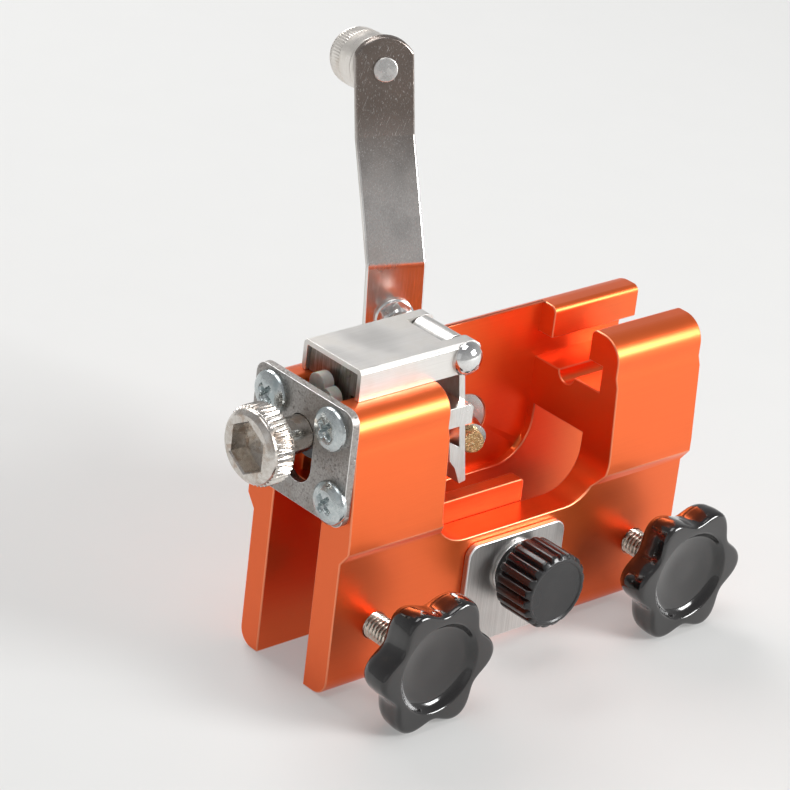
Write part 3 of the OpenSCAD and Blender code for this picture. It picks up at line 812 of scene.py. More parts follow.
def revolve(axis: Axis, profile: Grid, columns: int, shape: Shape = unchanged,
            closed: bool = False) -> Shell:
    """Carries a profile round an axis, and lets a shape function bend it.

    Point (i, j) is the profile's row i at the angle of column j. An open profile is closed by
    a fan of triangles at each end.

    Args:
        axis: the axis.
        profile: rows of height, radius and share.
        columns: number of steps round the axis.
        shape: gives height and radius from height, radius, share and angle.
        closed: whether the profile is a loop, as for a ring.

    Returns:
        The closed surface.
    """
    height, radius, share = (profile[:, i:i + 1] for i in range(3))
    angle = np.arange(columns)[None, :] * TURN / columns
    high, wide = shape(height, radius, share, angle)
    points = axis.points(high, wide, angle + 0 * high)
    rows = len(points)
    ring = np.arange(columns)
    following = (ring + 1) % columns
    first = np.arange(rows if closed else rows - 1)[:, None] * columns
    second = (first + columns) % (rows * columns)
    quads = np.stack([first + ring, first + following, second + following, second + ring], -1)
    triangles = np.empty((0, 3), int)
    points = points.reshape(-1, 3)
    if not closed:
        start, end = rows * columns, rows * columns + 1
        tail = (rows - 1) * columns
        fan_start = np.stack([np.full(columns, start), following, ring], -1)
        fan_end = np.stack([np.full(columns, end), tail + ring, tail + following], -1)
        triangles = np.vstack([fan_start, fan_end])
        middles = [points[:columns].mean(0), points[tail:].mean(0)]
        points = np.vstack([points, middles])
    return Shell(points, quads.reshape(-1, 4), triangles).outward()


def hexagon(angle: Grid) -> Grid:
    """Radius of a hexagon whose half width across flats is 1: one over cos of the angle
    from the middle of the nearest flat."""
    sixth = TURN / 6
    return 1 / np.cos((angle % sixth) - sixth / 2)


@dataclass(frozen=True)
class Thread:
    """A screw thread: its pitch, its groove's depth, the rows' spacing and the columns."""

    pitch: float
    depth: float
    step: float
    columns: int = 44

    def cut(self, axis: Axis, outline: Sequence[tuple[float, ...]]) -> Shell:
        """Turns a profile, with a helical groove where share is 1.

        The radius falls by depth times a power of half of (1 + cos of (2 pi height / pitch +
        angle)).

        Args:
            axis: the screw's axis.
            outline: corners of the profile.

        Returns:
            The closed surface.
        """
        def groove(height: Grid, radius: Grid, share: Grid, angle: Grid) -> Pair:
            """Takes the groove off the radius."""
            wave = 0.5 + 0.5 * np.cos(TURN * height / self.pitch + angle)
            return height + 0 * angle, radius - share * self.depth * wave ** CUT_POWER

        return revolve(axis, denser(rounded(outline), self.step), self.columns, groove)


def cad_copy(node: str, name: str, edge: float, angle: float = COPY_SHARP,
             clamp: bool = True) -> Thing:
    """Copies a CAD node as one merged mesh whose sharp outer edges get a rounding.

    Args:
        node: name of the CAD node.
        name: name of the new piece.
        edge: width of the rounding.
        angle: edges sharper than this, in degrees, are rounded.
        clamp: whether a rounding shrinks where two of them would meet.

    Returns:
        The new piece, at the origin.
    """
    mesh = frame["nodes"][node].data.copy()
    mesh.materials.clear()
    limit = math.radians(angle)
    work = bmesh.new()
    work.from_mesh(mesh)
    bmesh.ops.remove_doubles(work, verts=work.verts, dist=MERGE_DISTANCE * MM)
    bmesh.ops.dissolve_limit(work, angle_limit=math.radians(FLAT_ANGLE), verts=work.verts,
                             edges=work.edges)
    rounding = work.edges.layers.float.new("bevel_weight_edge")
    for ridge in work.edges:
        if ridge.is_manifold and ridge.is_convex and ridge.calc_face_angle() > limit:
            ridge[rounding] = 1.0
    work.to_mesh(mesh)
    work.free()
    mesh.shade_smooth()
    mesh.set_sharp_from_angle(angle=limit)
    thing = add_object(name, mesh)
    bevel = thing.modifiers.new("edge_rounding", "BEVEL")
    bevel.width = edge * MM
    bevel.segments = ROUNDING_STEPS
    bevel.limit_method = "WEIGHT"
    bevel.use_clamp_overlap = clamp
    flat = thing.modifiers.new("flat_faces", "WEIGHTED_NORMAL")
    flat.keep_sharp = True
    return thing


def hand_over(thing: Thing, finish: Finish, node: str) -> None:
    """Dresses a piece, lets it ride on its node's body and stand for the node.

    Args:
        thing: the piece.
        finish: its finish.
        node: the CAD node that it stands for.
    """
    layers = [finish]
    rounding = thing.modifiers.get("edge_rounding")
    # A rounding's bevel faces take a second material with the lighter edge tone: a painted
    # highlight, partly wear
    if rounding is not None and isinstance(finish, Metal) and finish.edge is not None:
        layers.append(finish.highlit_and_worn())
        rounding.material = ROUNDING_SLOT
    thing.data.materials.clear()
    for layer in layers:
        if layer.name not in made_finishes:
            made_finishes[layer.name] = layer.material()
        thing.data.materials.append(made_finishes[layer.name])
    body = frame["nodes"][node]["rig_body"]
    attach(thing, body)
    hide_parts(node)
    log.info("%s rides %s for %s, %d points", thing.name, body, node, len(thing.data.vertices))


def redress(node: str, name: str, edge: float, finish: Finish,
            angle: float = COPY_SHARP, clamp: bool = True) -> None:
    """Puts a rounded and finished copy in the place of a CAD node.

    Args:
        node: name of the CAD node.
        name: name of the new piece.
        edge: width of the rounding.
        finish: its finish.
        angle: edges sharper than this, in degrees, are rounded.
        clamp: whether a rounding shrinks where two of them would meet.
    """
    hand_over(cad_copy(node, name, edge, angle, clamp), finish, node)


def middle(node: str) -> Vector:
    """Middle of a CAD node's box, in millimetres."""
    low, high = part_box(node)
    return (low + high) * PER_M / 2


def corner(node: str, high: bool) -> Vector:
    """Lowest or highest corner of a CAD node's box, in millimetres."""
    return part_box(node)[1 if high else 0] * PER_M


def front_axis(node: str, y: float) -> Axis:
    """Axis through the middle of a CAD node, from the place y to the front, its zero angle up."""
    place = middle(node)
    return Axis((place.x, y, place.z), Way.FRONT.value, Way.UP.value)


# Sub-assemblies


@dataclass
class Housing:
    """The milled body with its end plate, pan-head screws and nylon keeper.

    A row of the dome is an angle up its quarter ellipse, in radians, and the recess's share.
    """

    # Roundings of the CAD copies
    body_edge: float = 0.3
    plate_edge: float = 0.55
    keeper_edge: float = 0.5
    # The pan heads and their shanks
    head_r: float = 4.8
    head_h: float = 2.6
    rim_h: float = 0.8
    dome: Rows = ((0.3, 0), (0.6, 0), (0.9, 0), (1.05, 0.6), (1.2, 1), (1.35, 1))
    dome_pole: float = 0.02
    head_step: float = 0.11
    head_columns: int = 120
    shank_r: float = 2.5
    shank_l: float = 12.0
    shank_fillet: float = 0.4
    upper_in: float = 2.1
    # The cross recess: half an arm's width, its reach from the middle, and the core in which
    # it has its full depth
    recess_half: float = 0.62
    recess_reach: float = 2.55
    recess_core: float = 1.6
    recess_outer: float = 0.62
    recess_depth: float = 1.7
    recess_slope: float = 0.55
    recess_turn: float = 38.0

    def build(self) -> None:
        """Builds and dresses the pieces."""
        redress("body", "milled_body", self.body_edge, ORANGE, clamp=False)
        redress("end_plate", "steel_end_plate", self.plate_edge, BLASTED)
        redress("nylon_keeper", "two_lobed_keeper", self.keeper_edge, MILKY)
        hand_over(self.screws(), ZINC_HEAD, "end_plate_screws")

    def recess(self, height: Grid, radius: Grid, share: Grid, angle: Grid) -> Pair:
        """Sinks a cross into the head.

        With x and y across the head, an arm's depth is the smooth step of (half width - |y|)
        times that of (reach - |x|), and less outside the core. The deeper arm counts.

        Args:
            height: heights of the profile.
            radius: its radii.
            share: 1 on the head's face, else 0.
            angle: angles round the head.

        Returns:
            Heights and radii with the cross.
        """
        turned = angle + math.radians(self.recess_turn)
        x, y = np.abs(radius * np.cos(turned)), np.abs(radius * np.sin(turned))

        def inside(distance: Grid) -> Grid:
            """Smooth step from 0 at the edge to 1 a slope's width inside it."""
            t = np.clip(distance / self.recess_slope, 0, 1)
            return t * t * (3 - 2 * t)

        def arm(along: Grid, across: Grid) -> Grid:
            """Depth of one arm, as a share of the recess's depth."""
            floor = self.recess_outer + (1 - self.recess_outer) * inside(self.recess_core - along)
            wide = inside(self.recess_half + self.recess_slope / 2 - across)
            return wide * inside(self.recess_reach - along) * floor

        sunk = share * self.recess_depth * np.maximum(arm(x, y), arm(y, x))
        return height - sunk, radius + 0 * angle

    def screws(self) -> Thing:
        """Makes the four screws: a shank, a rim and a flat dome with a cross recess.

        The upper two stand nearer to the middle than the lower two.

        Returns:
            The piece with all four.
        """
        low, high = corner("end_plate_screws", False), corner("end_plate_screws", True)
        r = self.head_r
        dome = [(self.rim_h + (self.head_h - self.rim_h) * math.sin(t), r * math.cos(t), 0, share)
                for t, share in self.dome]
        shank = [(-self.shank_l, POLE_R, 0, 0),
                 (-self.shank_l, self.shank_r, self.shank_fillet, 0), (0, self.shank_r, 0, 0)]
        head = [(0, r - HAIR, HAIR, 0), (self.rim_h, r, CRISP, 0), *dome,
                (self.head_h, self.dome_pole, 0, 1)]
        profile = np.vstack([rounded(shank), denser(rounded(head), self.head_step)])
        seat = low.x + self.head_h
        far = high.y - r
        shells = [revolve(Axis((seat, side * y, z), Way.LEFT.value, (0.0, side, 0.0)),
                          profile, self.head_columns, self.recess)
                  for side in (-1.0, 1.0)
                  for y, z in ((far - self.upper_in, high.z - r), (far, low.z + r))]
        return (shells[0] + shells[1] + shells[2] + shells[3]).object("cross_recess_screws")


@dataclass
class Adjuster:
    """The knurled socket screw and its retaining ring.

    Places run from the head's face, and those with back in their name from the head's back.
    """

    ring_edge: float = 0.12
    # The knurled head
    head_l: float = 7.0
    head_r: float = 8.7
    core_r: float = 8.15
    face_r: float = 7.0
    back_face_r: float = 7.2
    face_fillet: float = 0.25
    slope_end: float = 0.95
    core_end: float = 1.65
    knurl_start: float = 2.0
    back_knurl: float = 1.3
    back_core: float = 1.0
    back_slope: float = 0.65
    teeth: int = 44
    tooth_steps: int = 6
    tooth_depth: float = 0.62
    # The hexagon socket
    flat_half: float = 5.0
    socket_depth: float = 4.8
    socket_point: float = 1.2
    socket_step: float = 0.5
    mouth_l: float = 0.35
    mouth_w: float = 0.3
    # The shank with the ring's groove, and the thread after it
    shank_r: float = 4.0
    groove_r: float = 3.2
    groove_start: float = 16.7
    groove_l: float = 1.0
    plain_l: float = 1.0
    runout_l: float = 1.0
    tip_l: float = 1.0
    tip_fall: float = 0.8
    tip_share: float = 0.6
    thread: Thread = Thread(1.25, 0.68, 0.16, 48)

    def build(self) -> None:
        """Builds and dresses the pieces."""
        hand_over(self.screw(), NICKEL, "adjuster_screw")
        redress("adjuster_retaining_ring", "retaining_ring", self.ring_edge, DARK_STEEL)

    def head_shape(self, height: Grid, radius: Grid, share: Grid, angle: Grid) -> Pair:
        """Cuts teeth where share is above zero, and makes a hexagon where it is below.

        A tooth gap is depth times a power of half of (1 - cos of teeth times angle). The
        hexagon's radius is the profile's over cos of the angle from the nearest flat.

        Args:
            height: heights of the profile.
            radius: its radii.
            share: from -1, hexagon, over 0, round, to 1, knurled.
            angle: angles round the screw.

        Returns:
            Heights and radii of the head.
        """
        gaps = (0.5 - 0.5 * np.cos(self.teeth * angle)) ** CUT_POWER
        knurled = radius - np.clip(share, 0, 1) * self.tooth_depth * gaps
        flats = np.clip(-share, 0, 1) * radius * (hexagon(angle) - 1)
        return height + 0 * angle, knurled + flats

    def screw(self) -> Thing:
        """Makes the screw from its socket's floor round the head to the threaded tip.

        Returns:
            The piece.
        """
        low, high = corner("adjuster_screw", False), corner("adjuster_screw", True)
        axis = Axis((low.x, 0, middle("adjuster_screw").z), Way.RIGHT.value, Way.UP.value)
        length = high.x - low.x
        core, rim = self.core_r - HAIR / 2, self.core_r - HAIR
        back, groove = self.head_l, self.groove_start
        neck, groove_end = groove + self.groove_l / 2, groove + self.groove_l
        plain_end = groove_end + self.plain_l
        socket = [
            (self.socket_depth + self.socket_point, POLE_R, 0, 0),
            (self.socket_depth, self.flat_half - self.socket_step, 0, -1),
            (self.socket_depth, self.flat_half, 0, -1), (self.mouth_l, self.flat_half, 0, -1),
            (0, self.flat_half + self.mouth_w, 0, -1)]
        head = [
            (0, self.face_r, self.face_fillet, 0), (self.slope_end, rim, SOFT, 0),
            (self.core_end, core, HAIR, 0), (self.knurl_start, self.head_r, 0, 1),
            (back - self.back_knurl, self.head_r, 0, 1), (back - self.back_core, core, 0, 0),
            (back - self.back_slope, rim, CRISP, 0), (back, self.back_face_r, self.face_fillet, 0),
            (back, self.shank_r, SOFT, 0), (groove, self.shank_r, 0, 0),
            (groove, self.groove_r, 0, 0), (neck, self.groove_r, 0, 0)]
        rod = [
            (neck, self.groove_r, 0, 0), (groove_end, self.groove_r, 0, 0),
            (groove_end, self.shank_r, 0, 0), (plain_end, self.shank_r, 0, 0),
            (plain_end + self.runout_l, self.shank_r, 0, 1),
            (length - self.tip_l, self.shank_r, 0, 1),
            (length, self.shank_r - self.tip_fall, 0, self.tip_share)]
        top = revolve(axis, rounded(socket + head), self.teeth * self.tooth_steps,
                      self.head_shape)
        return (top + self.thread.cut(axis, rod)).object("knurled_adjuster")


@dataclass
class Carriage:
    """The channel on the tower with its slide block, pin and pawl."""

    channel_edge: float = 0.22
    block_edge: float = 0.25
    pawl_edge: float = 0.28
    dome_edge: float = 0.2
    dome_angle: float = 50.0

    def build(self) -> None:
        """Builds and dresses the pieces."""
        redress("carriage_channel", "aluminium_channel", self.channel_edge, ALUMINIUM)
        redress("slide_block", "t_shaped_block", self.block_edge, STREAKED)
        redress("pawl_pin", "dome_headed_pin", self.dome_edge, CHROME,
                self.dome_angle)
        redress("pawl", "hooked_pawl", self.pawl_edge, CAST)


@dataclass
class Crank:
    """The drive: bushing, shaft, abrasive rod, nuts and arm.

    A size that ends in _s is a place on the crank axis, measured outwards from the mid-plane.
    """

    # The axis: its angle from square to the body, where it crosses the mid-plane, its height
    guide_az: float = 25.0
    cross_x: float = -0.7
    axis_z: float = 41.4
    # Roundings of the CAD copies
    bushing_edge: float = 0.3
    washer_edge: float = 0.15
    shaft_edge: float = 0.25
    grub_edge: float = 0.1
    arm_edge: float = 0.4
    # The abrasive rod, whose end face is smooth up to grit_from_r
    burr_tip: float = 1.2
    burr_fillet: float = 0.45
    burr_r: float = 2.5
    burr_end: float = 3.55
    burr_shank_r: float = 1.6
    burr_shank_end: float = 17.4
    burr_step: float = 0.13
    burr_columns: int = 88
    grit_depth: float = 0.16
    grit_from_r: float = 1.0
    grit_seed: int = 7
    # The nuts: a face is a share of half the width across flats, and past_corners is a
    # multiple of it that lies just outside the hexagon's corners
    stud_r: float = 2.5
    nut_s: float = 60.4
    nut_half: float = 3.75
    nut_h: float = 3.6
    nut_face: float = 0.93
    nut_chamfer: float = 0.55
    flange_r: float = 4.8
    flange_t: float = 1.2
    flange_slope: float = 0.5
    flange_rise: float = 0.35
    outer_nut_s: float = 67.2
    outer_nut_half: float = 4.0
    outer_nut_h: float = 4.0
    outer_nut_face: float = 0.95
    outer_nut_chamfer: float = 0.5
    bore_fillet: float = 0.15
    past_corners: float = 1.16
    nut_columns: int = 72
    # The arm, from its foot on the shaft over its slope to its tip
    arm_s: float = 66.2
    arm_lean: float = 3.0
    crank_r: float = 53.5
    arm_low: float = 12.7
    arm_set: float = 14.8
    arm_slope: float = 30.0
    tip_lean: float = 14.0

    def way(self) -> Triple:
        """Unit vector along the crank axis, away from the body."""
        turn = math.radians(self.guide_az)
        return (math.sin(turn), math.cos(turn), 0.0)

    def axis(self, s: float) -> Axis:
        """The crank axis from the point s away from the mid-plane, its zero angle up."""
        x, y, _ = self.way()
        return Axis((self.cross_x + s * x, s * y, self.axis_z), self.way(), Way.UP.value)

    def build(self) -> None:
        """Builds and dresses the pieces."""
        redress("guide_bushing", "pressed_bushing", self.bushing_edge, TURNED)
        redress("thrust_washer", "shaft_washer", self.washer_edge, TURNED)
        redress("drive_shaft", "shouldered_shaft", self.shaft_edge, TURNED)
        redress("burr_grub_screw", "shaft_grub_screw", self.grub_edge, DARK_STEEL)
        hand_over(self.burr(), GOLD_GRIT, "burr")
        hand_over(self.flanged_nut(), BRIGHT_ZINC, "hub_nut")
        hand_over(self.outer_nut(), BRIGHT_ZINC, "hub_outer_nut")
        redress("crank_arm", "joggled_arm", self.arm_edge, STAINLESS)

    def burr(self) -> Thing:
        """Makes the abrasive rod: a round rod whose grit is a seeded random dent per point.

        Returns:
            The piece.
        """
        rng = np.random.default_rng(self.grit_seed)
        tip, end = self.burr_tip, self.burr_end
        outline = [(tip, THIN_POLE_R, 0, 1), (tip, self.burr_r, self.burr_fillet, 1),
                   (end, self.burr_r, 0, 1), (end, self.burr_shank_r, 0, 0),
                   (self.burr_shank_end, self.burr_shank_r, 0, 0)]

        def gritty(height: Grid, radius: Grid, share: Grid, angle: Grid) -> Pair:
            """Takes share times depth times a random number off the radius."""
            dents = rng.random((len(height), angle.shape[1])) * (radius > self.grit_from_r)
            return height + 0 * angle, radius - share * self.grit_depth * dents

        profile = denser(rounded(outline), self.burr_step)
        shell = revolve(self.axis(0), profile, self.burr_columns, gritty)
        return shell.object("gritty_rod", GRIT_SHARP)

    def flanged_nut(self) -> Thing:
        """Makes the hub nut: a chamfered hexagon on a round flange.

        Returns:
            The piece.
        """
        wide = self.nut_half * self.past_corners
        foot, end = self.nut_h, self.nut_h + self.flange_t
        outline = [(0, self.stud_r, CRISP, 0), (0, self.nut_half * self.nut_face, 0, 1),
                   (self.nut_chamfer, wide, 0, 1), (foot - HAIR / 2, wide, 0, 1),
                   (foot, self.flange_r - self.flange_slope, HAIR, 0),
                   (foot + self.flange_rise, self.flange_r, CRISP, 0),
                   (end, self.flange_r, CRISP, 0), (end, self.stud_r, HAIR, 0)]
        return self.nut("flanged_hub_nut", self.nut_s, self.nut_half, outline)

    def outer_nut(self) -> Thing:
        """Makes the nut on the arm's outer face: a hexagon chamfered at both ends.

        Returns:
            The piece.
        """
        wide = self.outer_nut_half * self.past_corners
        rim = self.outer_nut_half * self.outer_nut_face
        tall, chamfer = self.outer_nut_h, self.outer_nut_chamfer
        outline = [(0, self.stud_r, self.bore_fillet, 0), (0, rim, 0, 1), (chamfer, wide, 0, 1),
                   (tall - chamfer, wide, 0, 1), (tall, rim, 0, 1),
                   (tall, self.stud_r, self.bore_fillet, 0)]
        return self.nut("outer_hub_nut", self.outer_nut_s, self.outer_nut_half, outline)

    def nut(self, name: str, s: float, half: float, outline: Sequence[tuple[float, ...]]) -> Thing:
        """Makes a nut: where share is 1, the radius is the smaller of hexagon and profile.

        Args:
            name: name of the piece.
            s: place of its first face on the crank axis.
            half: half its width across flats.
            outline: corners of its profile, a loop.

        Returns:
            The piece.
        """
        def hexed(height: Grid, radius: Grid, share: Grid, angle: Grid) -> Pair:
            """Cuts the flats."""
            round_r = radius + 0 * angle
            cut = np.minimum(round_r, half * hexagon(angle))
            return height + 0 * angle, np.where(share > 0.5, cut, round_r)

        shell = revolve(self.axis(s), rounded(outline, closed=True), self.nut_columns, hexed,
                        closed=True)
        return shell.object(name, NUT_SHARP)

    def tip_axis(self, start: float) -> Axis:
        """The axis square to the arm's leaning tip, on which the grip turns.

        The arm runs up along (cos of its lean times up - sin of it times level). The tip's
        middle lies crank_r up the arm, and outwards from its foot by the arm's set plus the
        height above the slope's end times the tangent of the tip's lean.

        Args:
            start: distance of the axis's start from the middle of the tip.

        Returns:
            The axis, which leads away from the body.
        """
        out = Vector(self.way())
        level = out.cross(Vector(Way.UP.value))
        lean, tip_lean = math.radians(self.arm_lean), math.radians(self.tip_lean)
        up = math.cos(lean) * Vector(Way.UP.value) - math.sin(lean) * level
        slope_h = self.arm_set / math.tan(math.radians(self.arm_slope))
        tip_h = self.crank_r - self.arm_low - slope_h
        tip_s = self.arm_s + self.arm_set + tip_h * math.tan(tip_lean)
        way = math.cos(tip_lean) * out - math.sin(tip_lean) * up
        place = Vector(self.axis(tip_s).start) + self.crank_r * up + start * way
        return Axis(tuple(place), tuple(way), tuple(way.orthogonal().normalized()))


@dataclass
class Grip:
    """The grip: a rivet through the arm's tip, and a turned roller on it.

    Places run from the middle of the arm's tip on the rivet, and from the roller's near
    end on the roller.
    """

    crank: Crank
    # The rivet
    arm_t: float = 2.0
    rivet_r: float = 2.5
    head_r: float = 2.9
    head_h: float = 0.66
    far_head_r: float = 4.2
    far_head_t: float = 1.6
    far_head_fillet: float = 0.5
    play: float = 0.6
    rivet_columns: int = 72
    # The roller
    start: float = 1.3
    radius: float = 7.1
    length: float = 22.0
    bore_r: float = 2.54
    near_fillet: float = 1.2
    far_fillet: float = 0.9
    taper: float = 0.4
    # Its turned line, and its band of ribs between two grooves
    line_start: float = 2.6
    line_depth: float = 0.16
    band_start: float = 12.2
    band_depth: float = 0.14
    band_to_far: float = 2.0
    groove_slope: float = 0.15
    groove_w: float = 0.25
    ribs: int = 60
    rib_steps: int = 4
    rib_depth: float = 0.16

    def build(self) -> None:
        """Builds and dresses the pieces."""
        hand_over(self.rivet(), RIVET, "grip_rivet")
        hand_over(self.roller(), ROLLER, "grip_roller")

    def rivet(self) -> Thing:
        """Makes the rivet: a flat head on the arm, a shank, and a far head past the roller.

        Returns:
            The piece.
        """
        face = self.arm_t / 2
        near = -face - self.head_h
        far = face + self.length + self.play
        end = far + self.far_head_t
        outline = [(near, POLE_R, 0, 0), (near, self.head_r, SOFT, 0),
                   (-face, self.head_r, HAIR / 2, 0), (-face, self.rivet_r, 0, 0),
                   (far, self.rivet_r, 0, 0), (far, self.far_head_r, HAIR, 0),
                   (end, self.far_head_r, self.far_head_fillet, 0), (end, POLE_R, 0, 0)]
        shell = revolve(self.crank.tip_axis(0), rounded(outline), self.rivet_columns)
        return shell.object("arm_rivet")

    def groove(self, start: float, depth: float, share: int) -> list[tuple[float, ...]]:
        """Gives a groove in the roller's profile.

        Args:
            start: where it starts.
            depth: its depth.
            share: share of the ribs from its end on.

        Returns:
            Its four corners.
        """
        floor = start + self.groove_slope
        rise = floor + self.groove_w
        return [(start, self.radius, 0, 0), (floor, self.radius - depth, 0, 0),
                (rise, self.radius - depth, 0, 0),
                (rise + self.groove_slope, self.radius, 0, share)]

    def roller(self) -> Thing:
        """Makes the roller: a turned sleeve with a band of fine ribs near its far end.

        A rib gap is depth times half of (1 - cos of ribs times angle).

        Returns:
            The piece.
        """
        far, r = self.length, self.radius
        band = far - self.band_to_far
        outline = [(0, self.bore_r, CRISP, 0), (0, r, self.near_fillet, 0),
                   *self.groove(self.line_start, self.line_depth, 0),
                   *self.groove(self.band_start, self.band_depth, 1), (band, r, 0, 1),
                   (band + self.groove_slope, r - self.band_depth, 0, 0),
                   (band + 2 * self.groove_slope, r - HAIR / 2, 0, 0),
                   (far, r - self.taper, self.far_fillet, 0), (far, self.bore_r, CRISP, 0)]

        def ribbed(height: Grid, radius: Grid, share: Grid, angle: Grid) -> Pair:
            """Cuts the gaps between ribs where share is 1."""
            gaps = 0.5 - 0.5 * np.cos(self.ribs * angle)
            return height + 0 * angle, radius - share * self.rib_depth * gaps

        shell = revolve(self.crank.tip_axis(self.start), rounded(outline, closed=True),
                        self.ribs * self.rib_steps, ribbed, closed=True)
        return shell.object("turned_roller")


@dataclass
class Clamp:
    """A clamp: swivel pad, threaded stud and star knob.

    The star's side has rows at its back and at its front: height from that end, distance
    in from the star's radius, and fillet. A row of the dish is depth, radius and fillet.
    """

    side: Side
    pad_edge: float = 0.3
    # The stud and its pin in the pad
    pin_r: float = 1.48
    pin_l: float = 1.25
    stud_r: float = 2.98
    tip_l: float = 0.65
    tip_fall: float = 0.6
    tip_share: float = 0.4
    thread: Thread = Thread(1.0, 0.52, 0.11)
    # The star knob
    knob_r: float = 15.75
    knob_t: float = 8.4
    knob_steps: int = 8
    knob_columns: int = 168
    lobes: int = 6
    lobe_share: float = 0.1
    lobe_turn: float = math.pi
    neck_r: float = 6.5
    neck_l: float = 1.0
    bore_r: float = 3.0
    bore_l: float = 3.6
    back_rows: Rows = ((0.3, 3.4, 0.0), (0.7, 1.3, 0.8), (2.4, 0.35, 0.9))
    front_rows: Rows = ((2.8, 0.0, 1.0), (0.0, 0.25, 1.2))
    ring_w: float = 2.3
    ring_share: float = 0.85
    dish_rows: Rows = ((0.05, 10.4, 0.5), (1.9, 9.2, 1.0), (2.9, 4.368, 2.0))

    def name(self, stem: str) -> str:
        """Name of a piece or node of this clamp."""
        return f"{stem}_{self.side.value}"

    def build(self) -> None:
        """Builds and dresses the pieces."""
        redress(self.name("clamp_pad"), self.name("swivel_pad"), self.pad_edge, PAD_STEEL)
        hand_over(self.stud(), THREAD, self.name("clamp_screw"))
        hand_over(self.knob(), GLOSS_BLACK, self.name("star_knob"))

    def stud(self) -> Thing:
        """Makes the stud with its thread, from the pin in the pad to the end in the knob.

        Returns:
            The piece.
        """
        node = self.name("clamp_screw")
        tip = corner(node, True).y
        length = tip - corner(node, False).y
        outline = [(0, THIN_POLE_R, 0, 0), (0, self.pin_r, CRISP, 0),
                   (self.pin_l, self.pin_r, 0, 0),
                   (self.pin_l, self.stud_r - self.tip_fall, 0, self.tip_share),
                   (self.pin_l + self.tip_l, self.stud_r, 0, 1), (length, self.stud_r, 0, 1)]
        return self.thread.cut(front_axis(node, tip), outline).object(self.name("threaded_stud"))

    def lobed(self, height: Grid, radius: Grid, share: Grid, angle: Grid) -> Pair:
        """Draws the star's outline.

        Where share is 1 the radius is multiplied by 1 - depth + depth times the cosine of
        lobes times angle, so that a valley points down.

        Args:
            height: heights of the profile.
            radius: its radii.
            share: how much of the outline counts.
            angle: angles round the knob.

        Returns:
            Heights and radii of the star.
        """
        wave = np.cos(self.lobes * angle + self.lobe_turn)
        return height + 0 * angle, radius * (1 - share * self.lobe_share * (1 - wave))

    def knob(self) -> Thing:
        """Makes the star knob: bored neck, lobed skirt, flat front ring and round dish.

        Returns:
            The piece.
        """
        node = self.name("star_knob")
        r, t = self.knob_r, self.knob_t
        back = [(h, r - inset, fillet, 1) for h, inset, fillet in self.back_rows]
        front = [(t - h, r - inset, fillet, 1) for h, inset, fillet in self.front_rows]
        dish = [(t - depth, wide, fillet, 0) for depth, wide, fillet in self.dish_rows]
        outline = [(self.bore_l, POLE_R, 0, 0), (self.bore_l, self.bore_r, 0, 0),
                   (-self.neck_l, self.bore_r, 0, 0), (-self.neck_l, self.neck_r, SOFT, 0),
                   (0, self.neck_r, SOFT, 0), *back, *front,
                   (t, r - self.ring_w, SOFT, self.ring_share), *dish,
                   (dish[-1][0], POLE_R, 0, 0)]
        axis = front_axis(node, corner(node, True).y - self.neck_l)
        shell = revolve(axis, rounded(outline, steps=self.knob_steps), self.knob_columns,
                        self.lobed)
        return shell.object(self.name("star_handle"), STAR_SHARP)


